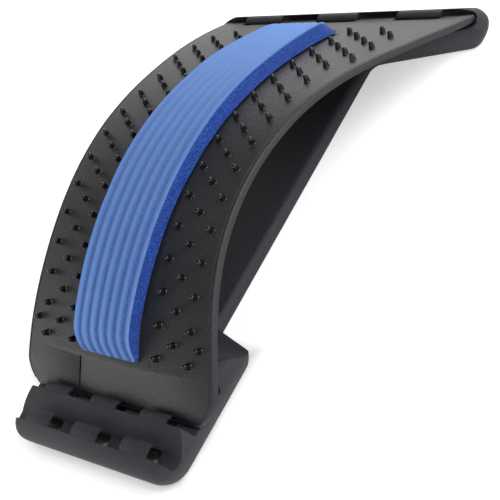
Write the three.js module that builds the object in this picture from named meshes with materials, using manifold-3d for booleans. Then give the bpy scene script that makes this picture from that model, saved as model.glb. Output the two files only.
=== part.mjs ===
import * as THREE from 'three';
import { mergeVertices, mergeGeometries } from 'three/addons/utils/BufferGeometryUtils.js';
import Module from 'manifold-3d';

// Arched back stretcher, in millimetres, +Z up, +Y towards the fixed rear seat.
// A moulded base carries a sprung plate: the plate's rear edge sits in a seat, and its front edge
// hooks into one of three slots, which sets the height of the arch. Here it is in the middle slot.

// Base frame
const baseLength = 386;
const wall = 2.6;
const lipHeight = 24.4;
const bulgeHeight = 14;
const faceReach = 9.6;
const footInset = 4.4;
const shoulderInset = 6.2;
const crestWidth = 1.1;

// Base frame, front block
const frontHalfWidth = 80;
const frontSideFlare = 2.1;
const frontCornerRadius = 17;
const blockTailRun = 28.3;
const frontBackCornerRadius = 9;
const waistFlareRun = 12.5;
const flareRun = 22;
const deckLength = 7;

// Base frame, waist bar
const waistFrontHalfWidth = 38.5;
const waistRearHalfWidth = 35;
const waistHeight = 8.5;
const waistEdgeRadius = 6;
const waistJoinRadius = 3;

// Base frame, rear block
const rearHalfWidth = 128;
const rearSideFlare = 6;
const rearShoulderInset = 9;
const rearFaceBulge = 10;
const rearEndRadius = 9;
const rearCornerRadius = 13;
const rearBlockLength = 44.5;
const rearEndLength = 23;
const rearJoinRadius = 12;
const rearRimHeight = 19.5;
const rearRimRun = 19;
const seatLength = 29.5;
const seatEndLength = 21;
const seatCornerRun = 48;
const seatCornerRadius = 5;
const seatEndWall = 5.5;
const seatFloor = 15.9;

// Slots of the front rack
const slotCount = 3;
const slotPitch = 24.65;
const slotFloor = 15.4;
const slotFloorWidth = 7.5;
const slotRootRadius = 1.6;
const lastSlotWidth = 13.8;
const lastSlotRunout = 8.2;

// Hooked flaps over the slots and over the rear seat
const flapThickness = 2.2;
const frontFlapLengths = [10.2, 6.6, 5];
const frontFlapRises = [2.3, 1, 0.8];
const frontFlapDips = [-0.5, 1.6, 1.2];
const rearFlapLength = 6;
const rearFlapRise = 0.7;
const rearFlapDip = 0.8;
const flapCount = 3;
const coreHoleInset = 1;

// Ribs under the base
const ribThickness = 2;
const ribRecess = 0.8;
const waistRibPitch = 24;
const waistRibCount = 3;
const crossRibPitch = 38;
const blockRibPitch = 26;
const ceilingRadius = 4;

// Rubber feet
const footRadius = 7;
const footThickness = 3;
const footDrop = 1.2;
const footFit = 0.3;
const footBossWall = 2;
const frontFootInsetX = 27;
const frontFootInsetY = 27;
const rearFootInsetX = 34;
const rearFootInsetY = 16;

// Arch plate
const plateThickness = 2.5;
const frontTipSetback = 4.98;
const rearTipClearance = 1.7;
const rearTipRest = 4.66;
const turnLinearAngle = 57.6;
const turnSkewAngle = -11.6;
const turnEaseAngle = -26.4;
const pitchAngle = 2.05;
const rearDroopAngle = 50;
const rearDroopStartShare = 0.6;
const frontEaseAngle = 77;
const frontEaseStartShare = 0.75;
const plateWaistHalfWidth = 82.5;
const plateRearMargin = 8.5;
const frontTipCorner = 12.2;
const frontTipRun = 19;
const rearTipCorner = 3;
const rearTipRun = 4;

// Edge rim of the arch plate
const rimDepth = 5;
const rimWidth = 2.6;
const rimRadius = 2;
const rimFadeRun = 22;
const grooveInset = 5.6;
const grooveWidth = 1.2;
const grooveDepth = 0.6;

// Tongues and notches of the arch plate
const notchClearance = 1.3;
const notchChamfer = 2.2;
const tongueLength = 3.1;
const tongueStep = 0.6;
const rearNotchDepth = 9.6;

// Bare panel at the front of the arch plate
const panelHalfWidth = 34.5;
const panelMargin = 3.9;
const panelLength = 19.8;
const panelDepth = 0.35;

// Massage nubs
const nubInnerX = 41.6;
const nubPitchX = 14.5;
const nubPitchY = 20.9;
const nubRadius = 2.6;
const nubTipRadius = 1.5;
const nubHeight = 5.2;
const nubRoot = 1;
const nubFrontInset = 6;
const nubEndMargin = 35;

// Foam pad and its adhesive sheet
const padHalfWidth = 27;
const padThickness = 9;
const padFrontMargin = 29.8;
const padRearMargin = 37.8;
const padNoseLength = 14;
const padNoseDrop = 6.5;
const padRibPitch = 9;
const padRibRise = 1.1;
const padEdgeRadius = 1.2;
const adhesiveThickness = 0.5;
const adhesiveInset = 1.5;
const glueGap = 0.4;

// One overrun serves every cut, and one step every seam that must not be flush
const overrun = 5;
const seam = 0.4;

// Shares and counts of the curves
const spreadShare = 0.7;
const frontFlapWidthShare = 0.3;
const frontFlapPitchShare = 0.605;
const rearFlapWidthShare = 0.293;
const rearFlapPitchShare = 0.5844;
const frontTipShare = 0.96711;
const rearTipShare = 0.99098;
const archOverShare = 1.06;
const heldSlot = 1;
const rimLeastShare = 0.1;
const rootSteps = 3;
const rearFacePower = 1.6;
const faceSteps = 6;
const archSteps = 600;
const cornerSteps = 4;
const flapSteps = 5;
const flareSteps = 8;
const plateSpans = 30;
const padSpans = 22;
const sheetSpans = 30;
const stepsPerRib = 4;
const nubSides = 6;
const nubColumns = 3;
const footSides = 16;
const outermostRowShares = [0.04, 0.79];
const blockLevelShares = [[0, 1, 1], [0.22, 0.66, 0.7], [0.45, 0.38, 0.44], [0.72, 0.12, 0.18], [1, 0, 0]];
const shoulderLevelShares = [[0.35, 0.1], [0.68, 0.38], [0.88, 0.7], [1.04, 1.05]];
const waistLevelShares = [0, 0.35, 0.65, 0.85, 1];
const flareShares = [
  [-1.04, 0.16], [-0.98, 0.19], [-0.9, 0.2], [-0.84, 0.195], [-0.76, 0.165], [-0.68, 0.115],
  [-0.6, 0.075], [-0.52, 0.04], [-0.44, 0.015], [-0.34, 0], [-0.24, 0.003], [-0.14, 0.018],
  [-0.04, 0.045], [0.06, 0.09], [0.16, 0.14], [0.24, 0.2], [0.32, 0.27], [0.4, 0.36],
  [0.48, 0.47], [0.56, 0.59], [0.64, 0.72], [0.72, 0.83], [0.8, 0.93], [0.88, 1], [1.04, 1.05],
];
const radians = Math.PI / 180;

const wasm = await Module();
wasm.setup();

// Solids and geometries

function toSolid(geometry) {
  const bare = geometry.index ? geometry.clone() : geometry;
  bare.deleteAttribute('normal');
  bare.deleteAttribute('uv');
  const merged = mergeVertices(bare, 1e-5);
  return new wasm.Manifold(new wasm.Mesh({
    numProp: 3,
    vertProperties: new Float32Array(merged.attributes.position.array),
    triVerts: new Uint32Array(merged.index.array),
  }));
}

function toGeometry(solid) {
  const mesh = solid.getMesh();
  const geometry = new THREE.BufferGeometry();
  geometry.setAttribute('position', new THREE.BufferAttribute(new Float32Array(mesh.vertProperties), 3));
  geometry.setIndex(new THREE.BufferAttribute(new Uint32Array(mesh.triVerts), 1));
  geometry.computeVertexNormals();
  return geometry;
}

// A closed body through rings of equal length, with flat ends
function loft(rings) {
  const count = rings[0].length;
  const positions = rings.flat().flatMap((p) => [p.x, p.y, p.z]);
  const indices = [];
  for (let r = 0; r + 1 < rings.length; r += 1) {
    for (let i = 0; i < count; i += 1) {
      const a = r * count + i;
      const b = r * count + (i + 1) % count;
      indices.push(a, b, b + count, a, b + count, a + count);
    }
  }
  const last = (rings.length - 1) * count;
  const endFaces = (ring) => {
    const along = rings.at(-1)[0].clone().sub(rings[0][0]).normalize();
    const side = Math.abs(along.y) > Math.abs(along.z) ? 'y' : 'z';
    const flat = ring.map((p) => (side === 'y' ? new THREE.Vector2(p.x, p.z) : new THREE.Vector2(p.x, p.y)));
    const faces = THREE.ShapeUtils.triangulateShape(flat, []);
    return THREE.ShapeUtils.isClockWise(flat) ? faces.map(([a, b, c]) => [a, c, b]) : faces;
  };
  endFaces(rings[0]).forEach(([a, b, c]) => indices.push(a, c, b));
  endFaces(rings.at(-1)).forEach(([a, b, c]) => indices.push(last + a, last + b, last + c));
  const geometry = new THREE.BufferGeometry();
  geometry.setAttribute('position', new THREE.Float32BufferAttribute(positions, 3));
  geometry.setIndex(indices);
  return outward(geometry);
}

// Turns a closed body's faces outwards if they point in
function outward(geometry) {
  const p = geometry.attributes.position;
  const index = geometry.index.array;
  const [a, b, c] = [new THREE.Vector3(), new THREE.Vector3(), new THREE.Vector3()];
  let volume = 0;
  for (let i = 0; i < index.length; i += 3) {
    a.fromBufferAttribute(p, index[i]);
    b.fromBufferAttribute(p, index[i + 1]);
    c.fromBufferAttribute(p, index[i + 2]);
    volume += a.dot(b.cross(c));
  }
  if (volume < 0) {
    for (let i = 0; i < index.length; i += 3) {
      [index[i], index[i + 1]] = [index[i + 1], index[i]];
    }
  }
  return geometry;
}

function box(x0, x1, y0, y1, z0, z1) {
  const geometry = new THREE.BoxGeometry(x1 - x0, y1 - y0, z1 - z0);
  geometry.translate((x0 + x1) / 2, (y0 + y1) / 2, (z0 + z1) / 2);
  return toSolid(geometry);
}

// A bar across the part: an outline in Y and Z, carried from x0 to x1
function acrossBar(outline, x0, x1) {
  const shape = new THREE.Shape(outline.map(([y, z]) => new THREE.Vector2(y, z)));
  const geometry = new THREE.ExtrudeGeometry(shape, { depth: x1 - x0, bevelEnabled: false });
  geometry.applyMatrix4(new THREE.Matrix4().makeBasis(
    new THREE.Vector3(0, 1, 0),
    new THREE.Vector3(0, 0, 1),
    new THREE.Vector3(1, 0, 0),
  ));
  geometry.translate(x0, 0, 0);
  return toSolid(geometry);
}

function roundPost(radius, x, y, z0, z1) {
  const geometry = new THREE.CylinderGeometry(radius, radius, z1 - z0, footSides);
  geometry.rotateX(Math.PI / 2);
  geometry.translate(x, y, (z0 + z1) / 2);
  return toSolid(geometry);
}

// Plan outlines: half of one is given as corners with radii, grown outwards and rounded

function grownCorners(corners, grow) {
  const moved = [];
  for (let i = 1; i + 1 < corners.length; i += 1) {
    const [p, q, r] = [corners[i - 1], corners[i], corners[i + 1]];
    const d1 = new THREE.Vector2(q.x - p.x, q.y - p.y).normalize();
    const d2 = new THREE.Vector2(r.x - q.x, r.y - q.y).normalize();
    const n1 = new THREE.Vector2(d1.y, -d1.x);
    const n2 = new THREE.Vector2(d2.y, -d2.x);
    const bisector = n1.clone().add(n2).normalize();
    const reach = grow / bisector.dot(n1);
    const convex = d1.cross(d2) > 0;
    moved.push({
      x: q.x + bisector.x * reach,
      y: q.y + bisector.y * reach,
      radius: Math.max(seam, q.radius + (convex ? grow : -grow)),
    });
  }
  return moved;
}

function roundedHalf(corners, grow) {
  const moved = grownCorners(corners, grow);
  const first = { x: 0, y: moved[0].y };
  const last = { x: 0, y: moved.at(-1).y };
  const all = [first, ...moved, last];
  const points = [];
  for (let i = 1; i + 1 < all.length; i += 1) {
    const p = new THREE.Vector2(all[i - 1].x, all[i - 1].y);
    const q = new THREE.Vector2(all[i].x, all[i].y);
    const r = new THREE.Vector2(all[i + 1].x, all[i + 1].y);
    const toP = p.clone().sub(q).normalize();
    const toR = r.clone().sub(q).normalize();
    const half = Math.acos(THREE.MathUtils.clamp(toP.dot(toR), -1, 1)) / 2;
    const cut = all[i].radius / Math.tan(half);
    const inward = toP.clone().add(toR).normalize();
    const centre = q.clone().add(inward.multiplyScalar(all[i].radius / Math.sin(half)));
    const from = q.clone().add(toP.multiplyScalar(cut)).sub(centre);
    const to = q.clone().add(toR.multiplyScalar(cut)).sub(centre);
    let sweep = Math.atan2(to.y, to.x) - Math.atan2(from.y, from.x);
    sweep = Math.atan2(Math.sin(sweep), Math.cos(sweep));
    for (let k = 0; k <= cornerSteps; k += 1) {
      points.push(from.clone().rotateAround(new THREE.Vector2(), sweep * k / cornerSteps).add(centre));
    }
  }
  return points;
}

function planRing(corners, grow, z) {
  const right = roundedHalf(corners, grow);
  const left = right.map((p) => new THREE.Vector2(-p.x, p.y)).reverse();
  return [...right, ...left].map((p) => new THREE.Vector3(p.x, p.y, z));
}

const baseEnd = baseLength / 2;
const frontCrestY = -baseEnd + faceReach;
const rearCrestY = baseEnd - faceReach;
const lastCrestY = frontCrestY + slotPitch * (slotCount - 1);
const deckY = lastCrestY + lastSlotWidth;
const frontBackY = deckY + blockTailRun;
const flareBackY = frontBackY + waistFlareRun;
const rearNearY = baseEnd - rearBlockLength;
const rearFarY = baseEnd - rearEndLength;
const frontFlapWidth = frontHalfWidth * frontFlapWidthShare;
const frontFlapPitch = frontHalfWidth * frontFlapPitchShare;
const rearFlapWidth = rearHalfWidth * rearFlapWidthShare;
const rearFlapPitch = rearHalfWidth * rearFlapPitchShare;

const corner = (x, y, radius = 0) => ({ x, y, radius });

function frontCorners(narrow) {
  return [
    corner(0, -baseEnd),
    corner(frontHalfWidth - narrow, -baseEnd, frontCornerRadius),
    corner(frontHalfWidth - narrow, frontBackY, frontBackCornerRadius),
    corner(waistFrontHalfWidth, flareBackY, waistJoinRadius),
    corner(0, flareBackY),
  ];
}

function rearCorners(narrow) {
  return [
    corner(0, rearNearY),
    corner(waistRearHalfWidth, rearNearY, rearJoinRadius),
    corner(rearHalfWidth - narrow, rearFarY, rearEndRadius),
    corner(rearHalfWidth - narrow, baseEnd, rearCornerRadius),
    corner(0, baseEnd),
  ];
}

// A block of the base: it flares out from the floor to its bulge, then rounds in to a shoulder
function blockBody(cornersOf, sideFlare, shoulderNarrow, inset) {
  const flared = blockLevelShares.map(([height, grow, narrow]) => (
    planRing(cornersOf(sideFlare * narrow), -footInset * grow - inset, bulgeHeight * height)
  ));
  const shoulders = shoulderLevelShares.map(([height, grow]) => (
    planRing(
      cornersOf(shoulderNarrow * grow),
      -shoulderInset * grow - inset,
      bulgeHeight + (lipHeight - bulgeHeight) * height,
    )
  ));
  return toSolid(loft([...flared, ...shoulders]));
}

// The waist bar, spread at both ends along the edges of the blocks, so that its edge runs out into them
function waistBody(inset) {
  const frontEdge = frontHalfWidth - frontSideFlare - footInset;
  const frontX = THREE.MathUtils.lerp(waistFrontHalfWidth, frontEdge, spreadShare);
  const frontY = THREE.MathUtils.lerp(flareBackY, frontBackY, spreadShare) - footInset;
  const rearEdge = rearHalfWidth - rearSideFlare - footInset;
  const rearX = THREE.MathUtils.lerp(waistRearHalfWidth, rearEdge, spreadShare);
  const rearY = THREE.MathUtils.lerp(rearNearY, rearFarY, spreadShare) + footInset;
  const endY = baseEnd - footInset - wall;
  const corners = [
    corner(0, -endY),
    corner(frontX, -endY, seam),
    corner(frontX, frontY, seam),
    corner(waistFrontHalfWidth, flareBackY - footInset, waistJoinRadius),
    corner(waistRearHalfWidth, rearNearY + footInset, rearJoinRadius),
    corner(rearX, rearY, seam),
    corner(rearX, endY, seam),
    corner(0, endY),
  ];
  const straight = waistHeight - waistEdgeRadius;
  const rings = [planRing(corners, -inset, 0)];
  for (const share of waistLevelShares) {
    const round = waistEdgeRadius * (1 - Math.sqrt(1 - share ** 2));
    rings.push(planRing(corners, -inset - round, straight + waistEdgeRadius * share));
  }
  return toSolid(loft(rings));
}

// Side profiles of the base, in Y and Z

// Outer face of a lip above its bulge, as distances out from the lip's inner edge
function lipFace(inset = 0) {
  return faceArc(bulgeHeight, 1, inset);
}

// Outer face of the rear wall, leaner than a lip's
function rearFace(inset = 0) {
  return faceArc(rearFaceBulge, rearFacePower, inset).reverse();
}

function faceArc(bulge, power, inset) {
  const points = [];
  for (let k = 0; k <= faceSteps; k += 1) {
    const angle = (k / faceSteps) * Math.PI / 2;
    points.push([
      crestWidth + (faceReach - crestWidth - inset) * Math.cos(angle) ** power,
      bulge + (lipHeight - inset - bulge) * Math.sin(angle),
    ]);
  }
  return points;
}

function easedFall(fromY, run, fromZ, toZ, steps) {
  const points = [];
  for (let k = 0; k <= steps; k += 1) {
    const share = k / steps;
    points.push([fromY + run * share, fromZ + (toZ - fromZ) * THREE.MathUtils.smoothstep(share, 0, 1)]);
  }
  return points;
}

function frontProfile() {
  return [
    [frontCrestY - faceReach, 0],
    ...lipFace().map(([d, z]) => [frontCrestY - d, z]),
    [deckY, lipHeight],
    ...easedFall(deckY + deckLength, flareRun, lipHeight, waistHeight - seam, flareSteps),
    [flareBackY + overrun, waistHeight - seam],
    [flareBackY + overrun, 0],
  ];
}

function rearProfile() {
  return [
    [rearNearY - overrun, 0],
    [rearNearY - overrun, waistHeight - seam],
    [rearNearY + wall, waistHeight - seam],
    [rearNearY + rearJoinRadius, rearRimHeight],
    [baseEnd - rearRimRun, rearRimHeight],
    [rearCrestY, lipHeight],
    ...rearFace().map(([d, z]) => [rearCrestY + d, z]),
    [rearCrestY + faceReach, 0],
  ];
}

// A slot: an upright front wall with a rounded root, a narrow floor, and a ramp up to the next lip
function slotProfile(index) {
  const points = [[0, lipHeight + overrun], [0, lipHeight]];
  for (let k = 0; k <= rootSteps; k += 1) {
    const angle = (k / rootSteps) * Math.PI / 2;
    const rootHeight = slotFloor + slotRootRadius * (1 - Math.sin(angle));
    points.push([slotRootRadius * (1 - Math.cos(angle)), rootHeight]);
  }
  points.push([slotFloorWidth, slotFloor]);
  if (index === slotCount - 1) {
    points.push([lastSlotRunout, slotFloor + crestWidth]);
    points.push([lastSlotWidth, lipHeight], [lastSlotWidth, lipHeight + overrun]);
  } else {
    points.push([slotPitch - crestWidth, lipHeight], [slotPitch - crestWidth, lipHeight + overrun]);
  }
  const crest = frontCrestY + slotPitch * index;
  return points.map(([y, z]) => [crest + y, z]);
}

// Arch of the plate: a mid-line in Y and Z that turns from a steep front to an easier rear. Its shape is
// fixed by angles alone, and its size and place by where its ends lie: in the held slot and in the rear seat.

function turnAt(t) {
  const droop = rearDroopAngle * Math.max(0, t - rearDroopStartShare) ** 2;
  const ease = frontEaseAngle * Math.max(0, -t - frontEaseStartShare) ** 2;
  const turn = turnLinearAngle * t + turnSkewAngle * t ** 2 + turnEaseAngle * t ** 3;
  return -(turn + pitchAngle + droop + ease) * radians;
}

const unitArch = (() => {
  const step = archOverShare / archSteps;
  const table = [];
  for (const side of [-1, 1]) {
    let [y, z] = [0, 0];
    const run = [];
    for (let k = 0; k <= archSteps; k += 1) {
      run.push([y, z]);
      const middle = turnAt(side * (k + 0.5) * step);
      y += side * Math.cos(middle) * step;
      z += side * Math.sin(middle) * step;
    }
    table.push(...(side < 0 ? run.reverse().slice(0, -1) : run));
  }
  const last = table.length - 1;
  return (t) => {
    const place = THREE.MathUtils.clamp((t / archOverShare + 1) * archSteps, 0, last);
    const i = Math.min(Math.floor(place), last - 1);
    return [0, 1].map((axis) => THREE.MathUtils.lerp(table[i][axis], table[i + 1][axis], place - i));
  };
})();

const [unitFrontY] = unitArch(-frontTipShare);
const [unitRearY, unitRearZ] = unitArch(rearTipShare);
const frontTipY = frontCrestY + slotPitch * heldSlot + frontTipSetback;
const rearTipY = rearCrestY - rearTipClearance;
const archHalfLength = (rearTipY - frontTipY) / (unitRearY - unitFrontY);
const frontTipLength = archHalfLength * frontTipShare;
const rearTipLength = archHalfLength * rearTipShare;
const frontShoulder = frontTipLength - tongueLength;
const panelFront = frontTipLength - panelMargin;
const padFrontEnd = frontTipLength - padFrontMargin;
const padRearEnd = rearTipLength - padRearMargin;

function arch(along) {
  const [y, z] = unitArch(along / archHalfLength);
  return {
    y: rearTipY + (y - unitRearY) * archHalfLength,
    z: seatFloor + rearTipRest + (z - unitRearZ) * archHalfLength,
    turn: turnAt(along / archHalfLength),
  };
}

// A point on the arch: across, along the arch, and away from the plate's upper face
function onArch(x, along, out) {
  const { y, z, turn } = arch(along);
  return new THREE.Vector3(x, y - out * Math.sin(turn), z + out * Math.cos(turn));
}

// The frame of the arch at one place, as a matrix: X across, Y along, Z out
function archFrame(x, along) {
  const { turn } = arch(along);
  const matrix = new THREE.Matrix4().makeRotationX(turn);
  matrix.setPosition(onArch(x, along, 0));
  return matrix;
}

function bentBody(stations, section) {
  return loft(stations.map((along) => section(along).map(([x, out]) => onArch(x, along, out))));
}

function spread(from, to, count) {
  return Array.from({ length: count + 1 }, (_, k) => from + (to - from) * k / count);
}

// Base frame

function threeAcross(width, pitch, make) {
  const pieces = [];
  for (let k = 0; k < flapCount; k += 1) {
    const x = (k - (flapCount - 1) / 2) * pitch;
    pieces.push(make(x - width / 2, x + width / 2));
  }
  return pieces.reduce((all, next) => all.add(next));
}

// A flap arches up from the lip's crest and dips to its tip; direction is +1 over the slots, -1 over the seat
function flaps(crest, direction, width, pitch, length, rise, dip) {
  const bend = (share) => 4 * rise * share * (1 - share) - dip * share ** 2;
  const top = [];
  const under = [];
  for (let k = 0; k <= flapSteps; k += 1) {
    const share = k / flapSteps;
    const y = crest + direction * length * share;
    top.push([y, lipHeight + bend(share)]);
    under.push([y, lipHeight + bend(share) - flapThickness]);
  }
  const root = crest - direction * crestWidth;
  const outline = [[root, lipHeight - flapThickness], [root, lipHeight], ...top, ...under.reverse()];
  return threeAcross(width, pitch, (x0, x1) => acrossBar(outline, x0, x1));
}

// The trough that takes the plate's rear edge, behind a low rim
function seatCut() {
  const inner = rearHalfWidth - seatEndWall;
  const edge = [
    corner(0, baseEnd - seatLength),
    corner(rearHalfWidth - seatCornerRun, baseEnd - seatLength, rearCornerRadius),
    corner(inner, baseEnd - seatEndLength, seatCornerRadius),
    corner(inner, rearCrestY, seatCornerRadius),
    corner(0, rearCrestY),
  ];
  return toSolid(loft([seatFloor, lipHeight + overrun].map((z) => planRing(edge, 0, z))));
}

function baseSolid() {
  const front = blockBody(frontCorners, frontSideFlare, 0, 0)
    .intersect(acrossBar(frontProfile(), -rearHalfWidth, rearHalfWidth));
  const rear = blockBody(rearCorners, rearSideFlare, rearShoulderInset, 0)
    .intersect(acrossBar(rearProfile(), -rearHalfWidth, rearHalfWidth));
  let body = waistBody(0).add(front).add(rear);

  for (let k = 0; k < slotCount; k += 1) {
    body = body.subtract(acrossBar(slotProfile(k), -rearHalfWidth, rearHalfWidth));
  }
  body = body.subtract(seatCut()).subtract(underside());
  for (let k = 0; k < slotCount; k += 1) {
    const crest = frontCrestY + slotPitch * k;
    const length = frontFlapLengths[k];
    body = body.subtract(threeAcross(frontFlapWidth, frontFlapPitch, (x0, x1) => (
      box(x0, x1, crest + coreHoleInset, crest + length, -overrun, slotFloor + slotRootRadius * 3)
    )));
    const rise = frontFlapRises[k];
    body = body.add(flaps(crest, 1, frontFlapWidth, frontFlapPitch, length, rise, frontFlapDips[k]));
  }
  body = body.subtract(threeAcross(rearFlapWidth, rearFlapPitch, (x0, x1) => (
    box(x0, x1, rearCrestY - rearFlapLength, rearCrestY - coreHoleInset, -overrun, seatFloor + wall)
  )));
  body = body.add(flaps(rearCrestY, -1, rearFlapWidth, rearFlapPitch, rearFlapLength, rearFlapRise, rearFlapDip));

  for (const [x, y] of footPlaces()) {
    body = body.add(roundPost(footRadius + footFit + footBossWall, x, y, 0, slotFloor - wall + seam));
    body = body.subtract(roundPost(footRadius + footFit, x, y, -overrun, footThickness - footDrop + footFit));
  }
  return body;
}

// The hollow under the base: blocks and waist less a wall, capped under slots, deck and seat, less the ribs
function underside() {
  const slotCeiling = slotFloor - wall;
  const waistCeiling = waistHeight - wall;
  const seatCeiling = seatFloor - wall;
  const outline = [
    [frontCrestY - faceReach + wall, -overrun],
    [frontCrestY - faceReach + wall, bulgeHeight / 2],
    ...lipFace(wall).filter(([d]) => d > wall).map(([d, z]) => [frontCrestY - d, z]),
    [frontCrestY - wall, slotCeiling],
    [deckY + wall / 2, slotCeiling],
    [deckY + wall, lipHeight - wall],
    ...easedFall(deckY + deckLength - wall, flareRun, lipHeight - wall, waistCeiling, flareSteps),
    [rearNearY + ceilingRadius, waistCeiling],
    [rearNearY + rearJoinRadius + wall, seatCeiling],
    [rearCrestY + wall, seatCeiling],
    ...rearFace(wall).filter(([d]) => d > wall).map(([d, z]) => [rearCrestY + d, z]),
    [rearCrestY + faceReach - wall, -overrun],
  ];
  const deep = (body) => body.add(body.translate([0, 0, -overrun / 2]));
  let hollow = deep(blockBody(frontCorners, frontSideFlare, 0, wall))
    .add(deep(blockBody(rearCorners, rearSideFlare, rearShoulderInset, wall)))
    .add(deep(waistBody(wall)))
    .intersect(acrossBar(outline, -rearHalfWidth, rearHalfWidth));
  const rib = (x0, x1, y0, y1) => box(x0, x1, y0, y1, ribRecess, lipHeight);
  const half = ribThickness / 2;
  const ribs = [];
  for (let k = 0; k < waistRibCount; k += 1) {
    const x = (k - (waistRibCount - 1) / 2) * waistRibPitch;
    ribs.push(rib(x - half, x + half, -baseEnd, baseEnd));
  }
  for (const side of [-1, 1]) {
    for (let x = waistRibPitch + blockRibPitch; x < rearHalfWidth - blockRibPitch / 2; x += blockRibPitch) {
      ribs.push(rib(side * x - half, side * x + half, rearNearY - wall, baseEnd));
      if (x < frontHalfWidth - blockRibPitch / 2) {
        ribs.push(rib(side * x - half, side * x + half, -baseEnd, flareBackY));
      }
    }
  }
  for (let y = flareBackY; y < rearNearY + ribThickness; y += crossRibPitch) {
    ribs.push(rib(-rearHalfWidth, rearHalfWidth, y - half, y + half));
  }
  for (let k = 1; k < slotCount; k += 1) {
    const y = frontCrestY + slotPitch * k - faceReach / 2;
    ribs.push(rib(-frontHalfWidth, frontHalfWidth, y - half, y + half));
  }
  return ribs.reduce((rest, next) => rest.subtract(next), hollow);
}

function footPlaces() {
  const [frontX, frontY] = [frontHalfWidth - frontFootInsetX, frontFootInsetY - baseEnd];
  const [rearX, rearY] = [rearHalfWidth - rearFootInsetX, baseEnd - rearFootInsetY];
  return [[-frontX, frontY], [frontX, frontY], [-rearX, rearY], [rearX, rearY]];
}

// Arch plate

function plateHalfWidth(along) {
  const t = along / archHalfLength;
  let i = 1;
  while (i < flareShares.length - 1 && flareShares[i][0] < t) {
    i += 1;
  }
  const [t0, f0] = flareShares[i - 1];
  const [t1, f1] = flareShares[i];
  const flare = THREE.MathUtils.lerp(f0, f1, THREE.MathUtils.clamp((t - t0) / (t1 - t0), 0, 1));
  const frontShare = 1 - THREE.MathUtils.clamp((along + frontTipLength) / frontTipRun, 0, 1);
  const rearShare = 1 - THREE.MathUtils.clamp((rearTipLength - along) / rearTipRun, 0, 1);
  return plateWaistHalfWidth + (rearHalfWidth - plateRearMargin - plateWaistHalfWidth) * flare
    - frontTipCorner * frontShare ** 2
    - rearTipCorner * (1 - Math.sqrt(1 - rearShare ** 2));
}

function plateSection(along) {
  const w = plateHalfWidth(along);
  const faded = THREE.MathUtils.smoothstep(along + frontTipLength, 0, rimFadeRun);
  const fade = THREE.MathUtils.lerp(rimLeastShare, 1, faded);
  const depth = plateThickness + (rimDepth - plateThickness) * fade;
  const top = along < -frontShoulder ? -tongueStep : 0;
  const right = [
    [w - grooveInset - grooveWidth, top],
    [w - grooveInset - grooveWidth / 2, top - grooveDepth * fade],
    [w - grooveInset, top],
    [w - rimRadius, top],
  ];
  for (const angle of [30, 60, 90]) {
    right.push([
      w - rimRadius + rimRadius * Math.sin(angle * radians),
      top - rimRadius + rimRadius * Math.cos(angle * radians),
    ]);
  }
  right.push(
    [w, -depth],
    [w - rimWidth, -depth],
    [w - rimWidth - seam, -plateThickness],
  );
  const left = right.map(([x, out]) => [-x, out]).reverse();
  return [...right, ...left];
}

function plateStations() {
  const stations = [
    -frontTipLength,
    -frontShoulder - seam / 4,
    -frontShoulder + seam / 4,
    ...spread(-frontShoulder + seam, -frontTipLength + frontTipRun, 3).slice(1),
    ...spread(-frontTipLength + frontTipRun, rearTipLength - rearTipRun, plateSpans).slice(1),
    ...spread(rearTipLength - rearTipRun, rearTipLength, 4).slice(1),
  ];
  return stations;
}

function notchCut(width, along0, along1) {
  const half = width / 2 + notchClearance;
  const [near, far] = [Math.min(along0, along1), Math.max(along0, along1)];
  const inward = along0 < along1 ? 1 : -1;
  const shape = new THREE.Shape([
    new THREE.Vector2(-half, along0),
    new THREE.Vector2(-half, along1 - inward * notchChamfer),
    new THREE.Vector2(-half + notchChamfer, along1),
    new THREE.Vector2(half - notchChamfer, along1),
    new THREE.Vector2(half, along1 - inward * notchChamfer),
    new THREE.Vector2(half, along0),
  ].map((p) => p.sub(new THREE.Vector2(0, along1))));
  const geometry = new THREE.ExtrudeGeometry(shape, { depth: rimDepth + overrun * 2, bevelEnabled: false });
  geometry.translate(0, 0, -rimDepth - overrun);
  return { geometry, middle: along1, length: far - near };
}

function plateSolid() {
  let plate = toSolid(bentBody(plateStations(), plateSection));
  const notches = [
    { width: frontFlapWidth, pitch: frontFlapPitch, from: -frontTipLength - overrun, to: -frontShoulder },
    { width: rearFlapWidth, pitch: rearFlapPitch, from: rearTipLength + overrun, to: rearTipLength - rearNotchDepth },
  ];
  for (const { width, pitch, from, to } of notches) {
    for (let k = 0; k < flapCount; k += 1) {
      const { geometry, middle } = notchCut(width, from, to);
      geometry.applyMatrix4(archFrame((k - (flapCount - 1) / 2) * pitch, middle));
      plate = plate.subtract(toSolid(geometry));
    }
  }
  const panel = bentBody(spread(-panelFront, panelLength - panelFront, 3), () => [
    [panelHalfWidth, -panelDepth],
    [panelHalfWidth, overrun],
    [-panelHalfWidth, overrun],
    [-panelHalfWidth, -panelDepth],
  ]);
  plate = plate.subtract(toSolid(panel));
  return plate.add(toSolid(mergeGeometries(nubPlaces().map(([x, along]) => nubGeometry(x, along)))));
}

// Nubs: staggered columns on either side of the pad; the outermost are one in front and the last few at the rear
function nubPlaces() {
  const middle = Math.floor((frontTipLength - nubEndMargin) / (nubPitchY / 2));
  const nubRows = 2 * middle + 1;
  const [frontShare, rearShare] = outermostRowShares;
  const places = [];
  for (let column = 0; column <= nubColumns; column += 1) {
    for (let row = 0; row < nubRows; row += 1) {
      const outermost = column === nubColumns;
      const atFront = row < nubRows * frontShare;
      const used = !outermost || atFront || row > nubRows * rearShare;
      if (row % 2 === column % 2 && used) {
        const x = nubInnerX + nubPitchX * column - (outermost && atFront ? nubFrontInset : 0);
        const along = (row - middle) * nubPitchY / 2;
        places.push([-x, along], [x, along]);
      }
    }
  }
  return places;
}

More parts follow.
